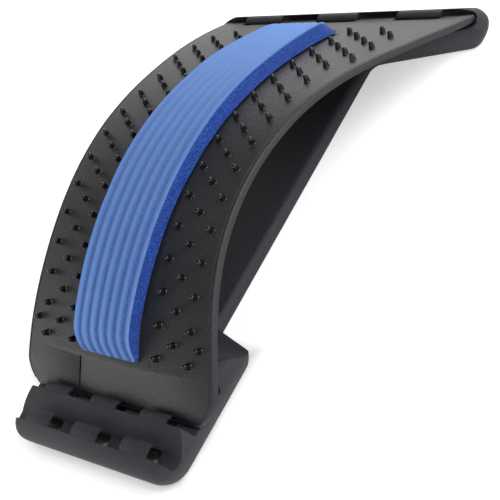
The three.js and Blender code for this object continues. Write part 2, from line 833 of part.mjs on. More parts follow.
function nubGeometry(x, along) {
  const profile = [
    [0, -nubRoot],
    [nubRadius, -nubRoot],
    [nubRadius * 0.93, nubHeight * 0.6],
    [nubTipRadius, nubHeight * 0.9],
    [0, nubHeight],
  ].map(([r, h]) => new THREE.Vector2(r, h));
  const geometry = new THREE.LatheGeometry(profile, nubSides);
  geometry.rotateX(Math.PI / 2);
  geometry.applyMatrix4(archFrame(x, along));
  geometry.deleteAttribute('normal');
  geometry.deleteAttribute('uv');
  return mergeVertices(geometry, 1e-4);
}

// Foam pad: rounded ribs along its top, straight cut sides, and ends that fall in a bull nose

function padStations() {
  const nose = 5;
  const roundedOff = (share) => padNoseLength * (1 - Math.sin(share * Math.PI / 2));
  return [
    ...Array.from({ length: nose }, (_, k) => roundedOff(1 - k / nose) - padFrontEnd),
    ...spread(-padFrontEnd + padNoseLength, padRearEnd - padNoseLength, padSpans),
    ...Array.from({ length: nose }, (_, k) => padRearEnd - roundedOff((k + 1) / nose)),
  ];
}

function padSection(along) {
  const noseShare = (distance) => THREE.MathUtils.clamp(1 - distance / padNoseLength, 0, 1);
  const share = Math.max(noseShare(along + padFrontEnd), noseShare(padRearEnd - along));
  const fall = padNoseDrop * (1 - Math.sqrt(1 - share ** 2));
  const bottom = glueGap * 2 + adhesiveThickness;
  const top = bottom + padThickness - fall;
  const ribs = Math.floor(2 * padHalfWidth / padRibPitch);
  const points = [[padHalfWidth, bottom], [padHalfWidth, top - padEdgeRadius]];
  const steps = ribs * stepsPerRib;
  for (let k = 0; k <= steps; k += 1) {
    const x = padHalfWidth - padEdgeRadius / 2 - (2 * padHalfWidth - padEdgeRadius) * k / steps;
    const wave = Math.cos(x / padRibPitch * Math.PI * 2);
    points.push([x, top - padRibRise / 2 + padRibRise / 2 * wave]);
  }
  points.push([-padHalfWidth, top - padEdgeRadius], [-padHalfWidth, bottom]);
  return points;
}

function adhesiveGeometry() {
  const x = padHalfWidth - adhesiveInset;
  const stations = spread(-padFrontEnd + adhesiveInset, padRearEnd - adhesiveInset, sheetSpans);
  return bentBody(stations, () => [
    [x, glueGap],
    [x, glueGap + adhesiveThickness],
    [-x, glueGap + adhesiveThickness],
    [-x, glueGap],
  ]);
}

function footGeometry() {
  const profile = [
    [0, -footDrop],
    [footRadius - seam, -footDrop],
    [footRadius, -footDrop + seam],
    [footRadius, footThickness - footDrop],
    [0, footThickness - footDrop],
  ].map(([r, h]) => new THREE.Vector2(r, h));
  const geometry = new THREE.LatheGeometry(profile, footSides);
  geometry.rotateX(Math.PI / 2);
  geometry.deleteAttribute('normal');
  geometry.deleteAttribute('uv');
  return mergeVertices(geometry, 1e-4);
}

// The assembly

const finishes = {
  base: { color: 0x45474b, roughness: 0.62, metalness: 0 },
  plate: { color: 0x4a4a4c, roughness: 0.68, metalness: 0 },
  foam: { color: 0x3f6fd0, roughness: 0.95, metalness: 0 },
  adhesive: { color: 0xd8d6cf, roughness: 0.9, metalness: 0 },
  rubber: { color: 0x1d1d1f, roughness: 0.85, metalness: 0 },
};

const stretcher = new THREE.Group();

function addPiece(name, geometry, finish, x = 0, y = 0) {
  const mesh = new THREE.Mesh(geometry, new THREE.MeshStandardMaterial(finishes[finish]));
  mesh.name = name;
  mesh.position.set(x, y, footDrop);
  stretcher.add(mesh);
}

addPiece('base_frame', toGeometry(baseSolid()), 'base');
addPiece('arch_plate', toGeometry(plateSolid()), 'plate');
addPiece('foam_pad', bentBody(padStations(), padSection), 'foam');
addPiece('pad_adhesive_sheet', adhesiveGeometry(), 'adhesive');
const footNames = ['foot_front_left', 'foot_front_right', 'foot_rear_left', 'foot_rear_right'];
footPlaces().forEach(([x, y], k) => addPiece(footNames[k], footGeometry(), 'rubber', x, y));

export default stretcher;
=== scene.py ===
"""Looks of an arched back stretcher, built in Blender round its packed CAD frame.

Lengths are in metres, with X across, Y from the hook rack to the rear seat, and Z up.
"""

import math
from types import SimpleNamespace

import bmesh
import bpy
from bpy.props import FloatProperty, FloatVectorProperty, IntProperty, PointerProperty
from mathutils import Matrix, Vector


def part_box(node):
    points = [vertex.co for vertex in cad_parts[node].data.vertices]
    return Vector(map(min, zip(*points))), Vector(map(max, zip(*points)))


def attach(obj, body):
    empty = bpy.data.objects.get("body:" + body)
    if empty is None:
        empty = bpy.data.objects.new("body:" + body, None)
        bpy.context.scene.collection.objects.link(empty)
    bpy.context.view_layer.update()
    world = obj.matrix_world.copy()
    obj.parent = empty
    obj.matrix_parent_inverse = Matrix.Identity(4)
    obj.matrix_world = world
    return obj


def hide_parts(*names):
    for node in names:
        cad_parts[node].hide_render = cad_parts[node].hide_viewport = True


bl_info = {
    "name": "Arched back stretcher",
    "version": (1, 0, 0),
    "blender": (4, 5, 0),
    "location": "3D View > Sidebar > Stretcher",
    "description": "Builds the moulded base, the sprung plate, its nubs, the foam strip and the feet",
    "category": "Object",
}

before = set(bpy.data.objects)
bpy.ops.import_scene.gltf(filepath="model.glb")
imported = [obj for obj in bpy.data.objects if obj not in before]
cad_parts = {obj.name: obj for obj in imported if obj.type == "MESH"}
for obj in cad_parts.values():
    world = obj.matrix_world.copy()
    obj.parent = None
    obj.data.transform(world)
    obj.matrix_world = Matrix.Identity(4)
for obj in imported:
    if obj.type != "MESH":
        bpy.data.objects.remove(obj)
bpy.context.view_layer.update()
BASE_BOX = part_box("base_frame")
FOOT_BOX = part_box("foot_front_right")

MM = 0.001
OVERRUN = 5 * MM  # how far a tool reaches past what it cuts
SEAM = 0.4 * MM  # how far pieces that are joined reach into each other
WELD = 0.001 * MM
NEAR = WELD * 10  # how near a point lies to the place where it is looked for
LEVEL = WELD / 5  # how near its height is to the height that is looked for
QUARTER = math.pi / 2
CORNER_STEPS, SOFT_STEPS, FOOT_STEPS = 8, 2, 3
SOFT_LIMIT, FOOT_LIMIT = 32, 40  # degrees from which an edge is sharp


def length(name, default, description):
    return FloatProperty(
        name=name, default=default, description=description, unit="LENGTH", precision=4, min=0
    )


def angle(name, degrees, description):
    return FloatProperty(
        name=name, default=math.radians(degrees), description=description, subtype="ANGLE"
    )


def number(name, default, description):
    return FloatProperty(name=name, default=default, description=description)


def count(name, default, description):
    return IntProperty(name=name, default=default, description=description, min=1)


def colour(name, default, description):
    return FloatVectorProperty(
        name=name, default=default, description=description, subtype="COLOR", size=3, min=0, max=1
    )


# Sizes and colours


class BaseSizes(bpy.types.PropertyGroup):
    """Sizes of the moulded base"""

    overall: length("Length", 0.386, "Length of the base, along Y")
    wall: length("Wall", 0.0026, "Wall of the moulding")
    lift: length("Lift", BASE_BOX[0].z, "Height of the base above the floor")
    lip: length("Lip height", 0.0244, "Height of the slot lips and of the rear wall")
    bulge: length("Bulge height", 0.014, "Height of the widest line round the front block")
    reach: length("Face reach", 0.0096, "From an end's widest line to its lip's inner edge")
    foot_inset: length("Foot inset", 0.0044, "How far the blocks draw in towards the floor")
    shoulder: length("Shoulder inset", 0.0062, "How far the blocks draw in towards the lip")
    crest: length("Crest", 0.0003, "Flat width on top of a lip")
    face_rise: length("Face rise", 0.005, "How far a lip's outer face rises before it leans over")
    face_lean: length("Face lean", 0.0045, "How far the face leans over towards the crest")
    face_slope: angle("Face slope", 38, "Slope with which the face reaches the crest")
    front_half: length("Front half width", 0.08, "Half width of the front block")
    front_flare: length("Front side flare", 0.0021, "Extra draw-in of the front sides at the floor")
    front_corner: length("Front corner", 0.017, "Corner radius at the front")
    back_corner: length("Back corner", 0.0045, "Cut of the corners at the back of the front block")
    block_tail: length("Block tail", 0.0283, "From the deck to the back corners of the front block")
    waist_flare: length("Waist flare", 0.0125, "From the front block's back corners to the waist")
    deck: length("Deck", 0.007, "Flat deck behind the last slot")
    fall: length("Fall", 0.022, "Run of the fall from the deck to the waist")
    waist_front: length("Waist front half", 0.0385, "Half width of the waist bar in front")
    waist_rear: length("Waist rear half", 0.035, "Half width of the waist bar at the rear")
    waist_height: length("Waist height", 0.0085, "Height of the waist bar")
    waist_edge: length("Waist edge", 0.006, "Radius along the waist bar's edges")
    rear_half: length("Rear half width", 0.128, "Half width of the rear block")
    rear_flare: length("Rear side flare", 0.006, "Extra draw-in of the rear sides at the floor")
    rear_shoulder: length("Rear side shoulder", 0.009, "Extra draw-in of the rear sides at the lip")
    rear_bulge: length("Rear bulge height", 0.01, "Height of the rear face's widest line")
    rear_corner: length("Rear corner", 0.023, "Corner radius at the rear")
    end_corner: length("End corner", 0.0063, "Cut of the corners where the slanted edge meets the ends")
    rear_length: length("Rear block length", 0.0445, "Length of the rear block")
    end_length: length("End length", 0.023, "Length of the rear block at its ends")
    rear_join: length("Rear join", 0.012, "Fillet between the waist and the rear block")
    rim_height: length("Rim height", 0.0195, "Height of the rim in front of the seat")
    rim_run: length("Rim run", 0.019, "From the rim's back edge to the rear end")
    seat_length: length("Seat length", 0.0295, "From the seat's front edge to the rear end")
    seat_end: length("Seat end length", 0.021, "Length of the seat at its ends, up to the rear end")
    seat_corner: length("Seat corner", 0.0075, "Corner radius at the back of the seat")
    seat_front_corner: length("Seat front corner", 0.0045, "Cut of the seat's front corners")
    seat_corner_run: length("Seat corner run", 0.048, "From the seat's front corner to the side")
    seat_wall: length("Seat wall", 0.0055, "End wall of the seat")
    seat_floor: length("Seat floor", 0.0159, "Height of the seat's floor")
    slots: count("Slots", 3, "Slots in the rack")
    slot_pitch: length("Slot pitch", 0.02465, "From one slot to the next")
    slot_floor: length("Slot floor", 0.0154, "Height of the slots' floor")
    slot_width: length("Slot width", 0.0075, "Width of a slot's floor")
    slot_root: length("Slot root", 0.0026, "Radius at the foot of a slot's wall")
    last_width: length("Last slot", 0.0138, "Width of the last slot's mouth")
    last_runout: length("Last runout", 0.0082, "Foot of the last slot's back wall")
    flap: length("Flap thickness", 0.0022, "Thickness of a hooked flap")
    front_flap: length("Front flap", 0.024, "Width of a flap over a slot")
    front_flap_pitch: length("Front flap pitch", 0.0484, "From one flap over a slot to the next")
    rear_flap: length("Rear flap", 0.0375, "Width of a flap over the seat")
    rear_flap_pitch: length("Rear flap pitch", 0.0748, "From one flap over the seat to the next")
    hole_inset: length("Hole inset", 0.001, "From a lip to the moulding hole under its flap")
    hole_rise: length("Hole rise", 0.0078, "From a slot's floor to the top of its moulding holes")
    hole_margin: length("Hole margin", 0.0018, "How much wider the hole is than its flap, on each side")
    rib: length("Rib", 0.002, "Thickness of a rib under the base")
    rib_recess: length("Rib recess", 0.0008, "From the floor edge up to the ribs")
    rib_pitch: length("Rib pitch", 0.024, "From one long rib to the next")
    block_rib_pitch: length("Block rib pitch", 0.026, "From one long rib to the next in the blocks")
    cross_rib_pitch: length("Cross rib pitch", 0.038, "From one cross rib to the next")
    boss_wall: length("Boss wall", 0.0023, "Wall of a boss round its foot")
    boss_gap: length("Boss gap", 0.0003, "Clearance of a foot in its boss")
    soft_edge: length("Soft edge", 0.00035, "Radius of the moulded edges")


class ArchSizes(bpy.types.PropertyGroup):
    """Sizes of the sprung plate"""

    half: length("Arch half length", 0.1885, "Half of the arch's length, from its crown")
    over: number("Over share", 1.06, "How far the guide line runs past the half length")
    steps: count("Steps", 300, "Points on each half of the guide line")
    turn: angle("Turn", 57.6, "Turn of the arch that grows with the distance from the crown")
    skew: angle("Skew", -11.6, "Part of the turn that grows with the square")
    ease: angle("Ease", -26.4, "Part of the turn that grows with the cube")
    pitch: angle("Pitch", 2.05, "Turn at the crown")
    droop: angle("Droop", 50, "Extra turn towards the rear end")
    droop_share: number("Droop share", 0.6, "Where the extra turn at the rear starts")
    front_ease: angle("Front ease", 77, "Turn taken back towards the front end")
    front_share: number("Front share", 0.75, "Where the turn in front is eased")
    rear_gap: length("Rear gap", 0.0017, "From the plate's rear edge to the rear wall")
    rest: length("Rest", 0.00466, "From the seat's floor to the top of the rear edge")
    thick: length("Thickness", 0.0025, "Thickness of the plate")
    front_tip: length("Front tip", 0.1823, "From the crown to the front edge")
    rear_tip: length("Rear tip", 0.1868, "From the crown to the rear edge")
    waist: length("Waist", 0.0825, "Half width of the plate at its narrowest")
    flare: length("Flare", 0.037, "How much wider the rear end is on each side")
    front_corner: length("Front corner", 0.0122, "How far the front corners draw in")
    front_run: length("Front run", 0.019, "Length of the front corners")
    rear_corner: length("Rear corner", 0.003, "How far the rear corners draw in")
    rear_run: length("Rear run", 0.004, "Length of the rear corners")
    rim_depth: length("Rim depth", 0.0042, "Depth of the edge rim")
    rim_width: length("Rim width", 0.0026, "Width of the edge rim")
    rim_round: length("Rim rounding", 0.0022, "How far the rim's rounding reaches in from the edge")
    rim_share: number("Rim share", 0.82, "Share of the rim's depth that is rounded")
    rim_fade: length("Rim fade", 0.022, "Run over which the rim fades in from the front")
    rim_least: number("Least rim", 0.1, "Share of the rim left at the front edge")
    groove_inset: length("Groove inset", 0.0027, "From the edge to the fine groove along it")
    groove_width: length("Groove width", 0.0009, "Width of the groove")
    groove_depth: length("Groove depth", 0.0009, "Depth of the groove")
    notch_gap: length("Notch clearance", 0.0013, "Room between a flap and its notch")
    notch_corner: length("Notch corner", 0.0022, "Corner radius of a notch")
    tongue: length("Tongue length", 0.0031, "Depth of the front notches")
    tongue_step: length("Tongue step", 0.0006, "Step down to the tongues")
    rear_notch: length("Rear notch", 0.0096, "Depth of the rear notches")
    panel_half: length("Panel half width", 0.0345, "Half width of the bare panel")
    panel_margin: length("Panel margin", 0.0039, "From the front edge to the panel")
    panel_length: length("Panel length", 0.0222, "Length of the panel")
    panel_depth: length("Panel depth", 0.0005, "Depth of the panel")
    panel_corner: length("Panel corner", 0.0015, "Corner radius of the panel")
    front_station: length("Front station", 0.003, "From one station to the next in front")
    station: length("Station", 0.005, "From one station to the next behind")
    panel_slit: length("Panel slit", 0.0009, "Width of the slit along one side of the panel")
    panel_slit_depth: length("Panel slit depth", 0.0016, "Depth of the slit")
    soft_edge: length("Soft edge", 0.00035, "Radius of the moulded edges")


class NubSizes(bpy.types.PropertyGroup):
    """Sizes and places of the massage nubs"""

    foot: length("Foot radius", 0.002464, "Radius of the flared foot")
    foot_edge: length("Foot edge", 0.00002, "Height of the foot's edge")
    foot_height: length("Foot height", 0.0004, "Height at which the foot has narrowed")
    radius: length("Radius", 0.0022, "Radius above the foot")
    tip: length("Tip radius", 0.00175, "Radius under the dome")
    height: length("Height", 0.0052, "Height above the plate")
    root: length("Root", 0.0008, "Depth into the plate")
    inner: length("Inner column", 0.0416, "From the middle to the first column")
    pitch_x: length("Column pitch", 0.0145, "From one column to the next")
    pitch_y: length("Row pitch", 0.0209, "From one nub to the next in a column")
    end_margin: length("End margin", 0.035, "From the front edge to the first row, at least")
    columns: count("Columns", 3, "Full columns on each side")
    front_inset: length("Front inset", 0.006, "How far the outermost nub in front moves in")
    sides: count("Sides", 18, "Sides of a nub")


class FoamSizes(bpy.types.PropertyGroup):
    """Sizes of the foam strip"""

    thick: length("Thickness", 0.009, "Thickness of the strip")
    glue: length("Glue line", 0.0013, "From the plate to the underside of the strip")
    front_margin: length("Front margin", 0.0308, "From the plate's front edge to the strip")
    rear_margin: length("Rear margin", 0.0365, "From the plate's rear edge to the strip")
    front_nose: length("Front nose", 0.018, "Run over which the front end falls to the plate")
    rear_nose: length("Rear nose", 0.016, "Run over which the rear end rounds over")
    ribs: count("Ribs", 6, "Rib pitches across the strip")
    rise: length("Rib rise", 0.001, "Height of a rib over its grooves")
    edge: length("Edge radius", 0.0014, "Radius along the top edges")
    corner: length("Corner", 0.003, "Corner radius of the ends seen from above")
    crown_corner: length("Crown corner", 0.02, "Run over which the top narrows towards the rear end")
    crown_draw: length("Crown draw", 0.008, "How much the top narrows on each side towards the rear")
    station: length("Station", 0.004, "From one station to the next between the ends")
    rib_fade: number("Rib fade", 1.3, "How soon the ribs' shading fades towards the rear")


class FootSizes(bpy.types.PropertyGroup):
    """Sizes of the rubber feet that the frame doesn't give"""

    sides: count("Sides", 40, "Sides of a foot")
    edge: length("Edge", 0.0004, "Rounding of the lower edge")
    ring: length("Ring", 0.0016, "Width of the ring that a foot stands on")
    hollow: length("Hollow", 0.0003, "Depth of the hollow inside the ring")


class FinishColours(bpy.types.PropertyGroup):
    """Colours of the finishes"""

    base: colour("Base", (0.02, 0.0215, 0.0255), "Charcoal of the moulded base")
    plate: colour("Plate", (0.0095, 0.0098, 0.012), "Charcoal of the sprung plate")
    nub: colour("Nub", (0.003, 0.003, 0.0033), "Black of the polished nubs")
    foam: colour("Foam", (0.085, 0.18, 0.43), "Blue of the foam's ribs")
    foam_cut: colour("Cut foam", (0.002, 0.022, 0.17), "Deeper blue of the foam's cut sides")
    film: colour("Adhesive", (0.03, 0.006, 0.006), "Dark red of the adhesive film")
    rubber: colour("Rubber", (0.016, 0.016, 0.017), "Black of the feet")
    floor: colour("Floor", (0.86, 0.86, 0.86), "Pale floor")


class StageSettings(bpy.types.PropertyGroup):
    """Light, floor and camera"""

    floor_size: length("Floor size", 8, "Side of the floor")
    walls: number("Walls", 1.4, "Strength of the light from the studio's walls")
    sky: number("Ceiling light", 0.05, "Strength of the light from the ceiling")
    wall_top: number("Wall top", 0.15, "Rise at which the walls' light starts to fade")
    ceiling: number("Ceiling", 0.6, "Rise at which only the ceiling's light is left")
    back: number("Back light", 17, "Power of the light behind, in watts")
    front: number("Front light", 8, "Power of the light in front, in watts")
    right: number("Right light", 28, "Power of the light above at the right, in watts")
    left: number("Left light", 9, "Power of the light at the left in front, in watts")
    spot: number("Spot", 2.5, "Power of the small light above, in watts")
    glow: number("Floor glow", 0.46, "Light that the floor gives, as on a light table")
    shade_inset: length("Shade inset", 0.012, "From the rack's outline to the floor that does not glow")
    shade_length: length("Shade length", 0.1, "Length of that part, from the front of the base")
    lens: number("Lens", 90.4, "Focal length, in millimetres")


# Modelling helpers


def release():
    """Back to object mode, with nothing selected"""
    if bpy.context.object and bpy.context.object.mode != "OBJECT":
        bpy.ops.object.mode_set(mode="OBJECT")
    bpy.ops.object.select_all(action="DESELECT")


def pick(piece):
    release()
    piece.select_set(True)
    bpy.context.view_layer.objects.active = piece


def take_all():
    bpy.ops.mesh.select_all(action="SELECT")


def edit(piece):
    """Opens the piece in edit mode, with all its points selected"""
    pick(piece)
    bpy.ops.object.mode_set(mode="EDIT")
    bpy.ops.mesh.select_mode(type="VERT")
    take_all()


def choose(test):
    """Selects the points of the piece in edit mode whose place passes the test"""
    mesh = bpy.context.object.data
    cage = bmesh.from_edit_mesh(mesh)
    for vertex in cage.verts:
        vertex.select = test(vertex.co)
    cage.select_flush_mode()
    bmesh.update_edit_mesh(mesh)


def choose_edges(test):
    """Selects the edges of the piece in edit mode that pass the test"""
    mesh = bpy.context.object.data
    bpy.ops.mesh.select_mode(type="EDGE")
    for edge in bmesh.from_edit_mesh(mesh).edges:
        edge.select_set(test(edge))
    bmesh.update_edit_mesh(mesh)


def move(x=0, y=0, z=0):
    bpy.ops.transform.translate(value=(x, y, z))


def grow(x=1, y=1, z=1, centre=(0, 0, 0)):
    bpy.ops.transform.resize(value=(x, y, z), center_override=centre)


def pull_out(x=0, y=0, z=0):
    """Extrudes the selection and moves what is new"""
    bpy.ops.mesh.extrude_region_move(TRANSFORM_OT_translate={"value": (x, y, z)})


def outline(name, points):
    """A face drawn point by point from a single vertex; it is left selected in edit mode"""
    release()
    bpy.ops.mesh.primitive_plane_add(size=OVERRUN)
    piece = bpy.context.object
    piece.name = name
    edit(piece)
    bpy.ops.mesh.merge(type="CENTER")
    move(*points[0])
    for here, there in zip(points, points[1:]):
        pull_out(*(Vector(there) - Vector(here)))
    take_all()
    bpy.ops.mesh.edge_face_add()
    return piece


def round_corner(x, y, cut, segments=CORNER_STEPS):
    """Rounds the corner of a flat outline that lies at this place"""
    choose(lambda co: math.hypot(co.x - x, co.y - y) < NEAR)
    bpy.ops.mesh.bevel(offset=cut, segments=segments, affect="VERTICES")


def mirrored_outline(name, corners, last_first=False):
    """A face from its right half, which is given as corners with the cut of each.

    The corners are rounded in order, or from the last to the first.
    """
    right = [(x, y, 0) for x, y, _ in corners]
    piece = outline(name, right + [(-x, y, 0) for x, y, _ in reversed(right)])
    for x, y, cut in corners[::-1] if last_first else corners:
        if cut:
            round_corner(x, y, cut)
            round_corner(-x, y, cut)
    take_all()
    return piece


def close_up(piece):
    """Welds doubles, turns the faces outwards and leaves edit mode"""
    take_all()
    bpy.ops.mesh.remove_doubles(threshold=WELD)
    bpy.ops.mesh.normals_make_consistent(inside=False)
    release()
    return piece


def bar(name, side, half):
    """A bar along X, as far on both sides, with this outline in Y and Z"""
    piece = outline(name, [(-half, y, z) for y, z in side])
    pull_out(x=2 * half)
    return close_up(piece)


def block(name, x0, x1, y0, y1, z0, z1):
    release()
    bpy.ops.mesh.primitive_cube_add(size=1)
    piece = bpy.context.object
    piece.name = name
    edit(piece)
    grow(x1 - x0, y1 - y0, z1 - z0)
    move((x0 + x1) / 2, (y0 + y1) / 2, (z0 + z1) / 2)
    release()
    return piece


def cylinder(sides, radius, low, high):
    release()
    middle = (0, 0, (low + high) / 2)
    bpy.ops.mesh.primitive_cylinder_add(
        vertices=sides, radius=radius, depth=high - low, location=middle
    )
    bpy.ops.object.transform_apply(location=True, rotation=False, scale=False)
    return bpy.context.object


def copies(master, shifts):
    """Copies the piece by each shift, every copy with its own mesh, and deletes the first"""
    made = []
    for shift in shifts:
        pick(master)
        bpy.ops.object.duplicate_move(TRANSFORM_OT_translate={"value": shift})
        bpy.ops.object.transform_apply(location=True, rotation=True, scale=True)
        made.append(bpy.context.object)
    pick(master)
    bpy.ops.object.delete()
    return made


def three_across(master, pitch):
    return copies(master, [(k * pitch, 0, 0) for k in (-1, 0, 1)])


def join(name, pieces):
    pick(pieces[0])
    for piece in pieces:
        piece.select_set(True)
    bpy.ops.object.join()
    pieces[0].name = name
    return pieces[0]


def carve(piece, tool, operation="DIFFERENCE", crossing=False):
    """Cuts, joins or trims the piece with the tool, which is used up"""
    pick(piece)
    bpy.ops.object.modifier_add(type="BOOLEAN")
    cut = piece.modifiers[-1]
    cut.operation = operation
    cut.solver = "EXACT"
    cut.use_self = crossing
    cut.object = tool
    bpy.ops.object.modifier_apply(modifier=cut.name)
    pick(tool)
    bpy.ops.object.delete()
    return piece


def smooth(degrees):
    bpy.ops.object.shade_smooth_by_angle(angle=math.radians(degrees))


def soften(piece, width):
    """Rounds the sharp edges of a finished moulding and smooths its faces"""
    edit(piece)
    close_up(piece)
    pick(piece)
    bpy.ops.object.modifier_add(type="BEVEL")
    soft = piece.modifiers[-1]
    soft.width = width
    soft.segments = SOFT_STEPS
    soft.limit_method = "ANGLE"
    soft.angle_limit = math.radians(SOFT_LIMIT)
    soft.use_clamp_overlap = True
    bpy.ops.object.modifier_apply(modifier=soft.name)
    smooth(SOFT_LIMIT)


def dress(piece, body, slot, material, *nodes):
    piece.data.materials.clear()
    piece.data.materials.append(material)
    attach(piece, body)
    if nodes:
        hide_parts(*nodes)


def within(share):
    """The share held between 0 and 1"""
    return min(1, max(0, share))


def eased(share):
    """The share, slow at both ends"""
    return share * share * (3 - 2 * share)


def quarter_turns(steps):
    """Sine and cosine at even steps through a quarter turn"""
    return [(math.sin(k / steps * QUARTER), math.cos(k / steps * QUARTER)) for k in range(steps + 1)]


def fallen(share):
    """How far a quarter circle has fallen at a share of its run"""
    return 1 - math.sqrt(max(0, 1 - share**2))


# The base

LEVELS = 8  # below a block's bulge, and again above it
SIDE_POWER, FOOT_POWER, SHOULDER_POWER = 1.4, 1.6, 2.4  # how suddenly a block draws in there
PAST_LIP = 1.04  # how far its upper levels run past its lip, for the side view to trim
SPREAD = 0.7  # how far along the blocks' slanted edges the waist bar spreads
EDGE_STEPS, FACE_STEPS, FALL_STEPS, ROOT_STEPS = 6, 14, 12, 5

# Length, rise and dip of the flaps over each slot and over the seat, in millimetres
FRONT_FLAPS = ((10.2, 1.7, -0.3), (6.6, 0.9, 1.2), (5.0, 0.7, 1.0))
REAR_FLAP = (6.0, 0.7, 0.8)
# Places along a flap, as shares of its length
FLAP_SHARES = (0, 0.1, 0.2, 0.3, 0.4, 0.5, 0.6, 0.7, 0.8, 0.88, 0.94, 0.98, 1)
NOSE_START = 0.88  # where a flap's rounded tip starts, as a share of its length
NOSE_FALL = 0.25  # how far the tip rounds over, as a share of the flap's thickness
NOSE_LIFT = 0.98  # how far its underside rises to meet it, short of closing the tip
TIP_TAPER = 0.3  # share of its thickness that a flap loses towards its tip
ROOT_SHARE = 0.7  # how deep a flap reaches into its lip, as a share of its thickness
BOSS_SIDES = 32


def block_levels(sizes, half, flare, narrow, inset, run):
    """Heights and scales of a block: it flares from the floor to its bulge and rounds in to its lip"""
    levels = []

    def add(height, side, away):
        away += inset
        levels.append((height, (half - side - away) / half, (run / 2 - away) / (run / 2)))

    for k in range(LEVELS + 1):
        share = k / LEVELS
        away = sizes.foot_inset * (1 - share) ** FOOT_POWER
        add(sizes.bulge * share, flare * (1 - share) ** SIDE_POWER, away)
    for k in range(1, LEVELS + 1):
        share = k / LEVELS * PAST_LIP
        drawn = share**SHOULDER_POWER
        add(sizes.bulge + (sizes.lip - sizes.bulge) * share, narrow * drawn, sizes.shoulder * drawn)
    return levels


def raise_block(name, corners, levels, centre, below=0):
    """Raises a mirrored outline through the levels, from below the floor where that is asked for"""
    piece = mirrored_outline(name, corners)
    middle = (0, centre, 0)
    height, wide, long = levels[0]
    grow(wide, long, 1, middle)
    if below:
        move(z=-below)
        pull_out(z=below)
    for next_height, next_wide, next_long in levels[1:]:
        pull_out(z=next_height - height)
        grow(next_wide / wide, next_long / long, 1, middle)
        height, wide, long = next_height, next_wide, next_long
    return close_up(piece)


def places(sizes):
    """The lines across the base that its pieces share"""
    end = sizes.overall / 2
    front_crest = sizes.reach - end
    deck = front_crest + sizes.slot_pitch * (sizes.slots - 1) + sizes.last_width
    back = deck + sizes.block_tail
    return SimpleNamespace(
        end=end,
        front_crest=front_crest,
        rear_crest=end - sizes.reach,
        deck=deck,
        back=back,
        waist=back + sizes.waist_flare,
        rear_near=end - sizes.rear_length,
        rear_far=end - sizes.end_length,
    )


def front_block(sizes, name, inset=0):
    at = places(sizes)
    corners = [
        (sizes.front_half, -at.end, sizes.front_corner),
        (sizes.front_half, at.back, sizes.back_corner),
        (sizes.waist_front, at.waist, sizes.waist_edge / 2),
    ]
    run = at.waist + at.end
    levels = block_levels(sizes, sizes.front_half, sizes.front_flare, 0, inset, run)
    return raise_block(name, corners, levels, at.waist - run / 2, OVERRUN if inset else 0)


def rear_block(sizes, name, inset=0):
    at = places(sizes)
    corners = [
        (sizes.waist_rear, at.rear_near, 0),
        (sizes.rear_half, at.rear_far, sizes.end_corner),
        (sizes.rear_half, at.end, sizes.rear_corner),
    ]
    run = at.end - at.rear_near
    levels = block_levels(sizes, sizes.rear_half, sizes.rear_flare, sizes.rear_shoulder, inset, run)
    return raise_block(name, corners, levels, at.end - run / 2, OVERRUN if inset else 0)


def waist_bar(sizes, name, inset=0):
    """The waist bar, spread at both ends along the edges of the blocks"""
    at = places(sizes)
    foot = sizes.foot_inset

    def between(a, b):
        return a + (b - a) * SPREAD

    front_x = between(sizes.waist_front, sizes.front_half - sizes.front_flare - foot) - inset
    rear_x = between(sizes.waist_rear, sizes.rear_half - sizes.rear_flare - foot) - inset
    end = at.end - foot - sizes.wall - inset
    piece = mirrored_outline(
        name,
        [
            (front_x, -end, 0),
            (front_x, between(at.waist, at.back) - foot - inset, 0),
            (sizes.waist_front - inset, at.waist - foot - inset, sizes.waist_edge / 2),
            (sizes.waist_rear - inset, at.rear_near + foot + inset, sizes.rear_join / 2),
            (rear_x, between(at.rear_near, at.rear_far) + foot + inset, 0),
            (rear_x, end, 0),
        ],
    )
    top = sizes.waist_height - inset
    below = OVERRUN if inset else 0
    if below:
        move(z=-below)
    pull_out(z=below + top)
    choose_edges(lambda e: min(v.co.z for v in e.verts) > top - WELD and len(e.link_faces) == 2)
    bpy.ops.mesh.bevel(offset=sizes.waist_edge - inset, segments=EDGE_STEPS, affect="EDGES")
    bpy.ops.mesh.select_mode(type="VERT")
    return close_up(piece)


def rounded_face(sizes, bulge, inset=0):
    """Outer face of a lip, which rises from its bulge and leans over: distances out, and heights"""
    top = sizes.lip - inset
    lean = sizes.face_lean
    guides = (
        (sizes.reach - inset, bulge),
        (sizes.reach - inset, bulge + sizes.face_rise),
        (sizes.crest + lean, top - lean * math.tan(sizes.face_slope)),
        (sizes.crest, top),
    )
    points = []
    for k in range(FACE_STEPS + 1):
        share = k / FACE_STEPS
        left = 1 - share
        weights = (left**3, 3 * share * left**2, 3 * share**2 * left, share**3)
        points.append(tuple(sum(w * guide[n] for w, guide in zip(weights, guides)) for n in (0, 1)))
    return points


def eased_fall(start, run, high, low):
    shares = [k / FALL_STEPS for k in range(FALL_STEPS + 1)]
    return [(start + run * share, high + (low - high) * eased(share)) for share in shares]


def front_side(sizes):
    at = places(sizes)
    low = sizes.waist_height - SEAM
    return [
        (at.front_crest - sizes.reach, -SEAM),
        *[(at.front_crest - away, z) for away, z in rounded_face(sizes, sizes.bulge)],
        (at.deck, sizes.lip),
        *eased_fall(at.deck + sizes.deck, sizes.fall, sizes.lip, low),
        (at.waist + OVERRUN, low),
        (at.waist + OVERRUN, -SEAM),
    ]


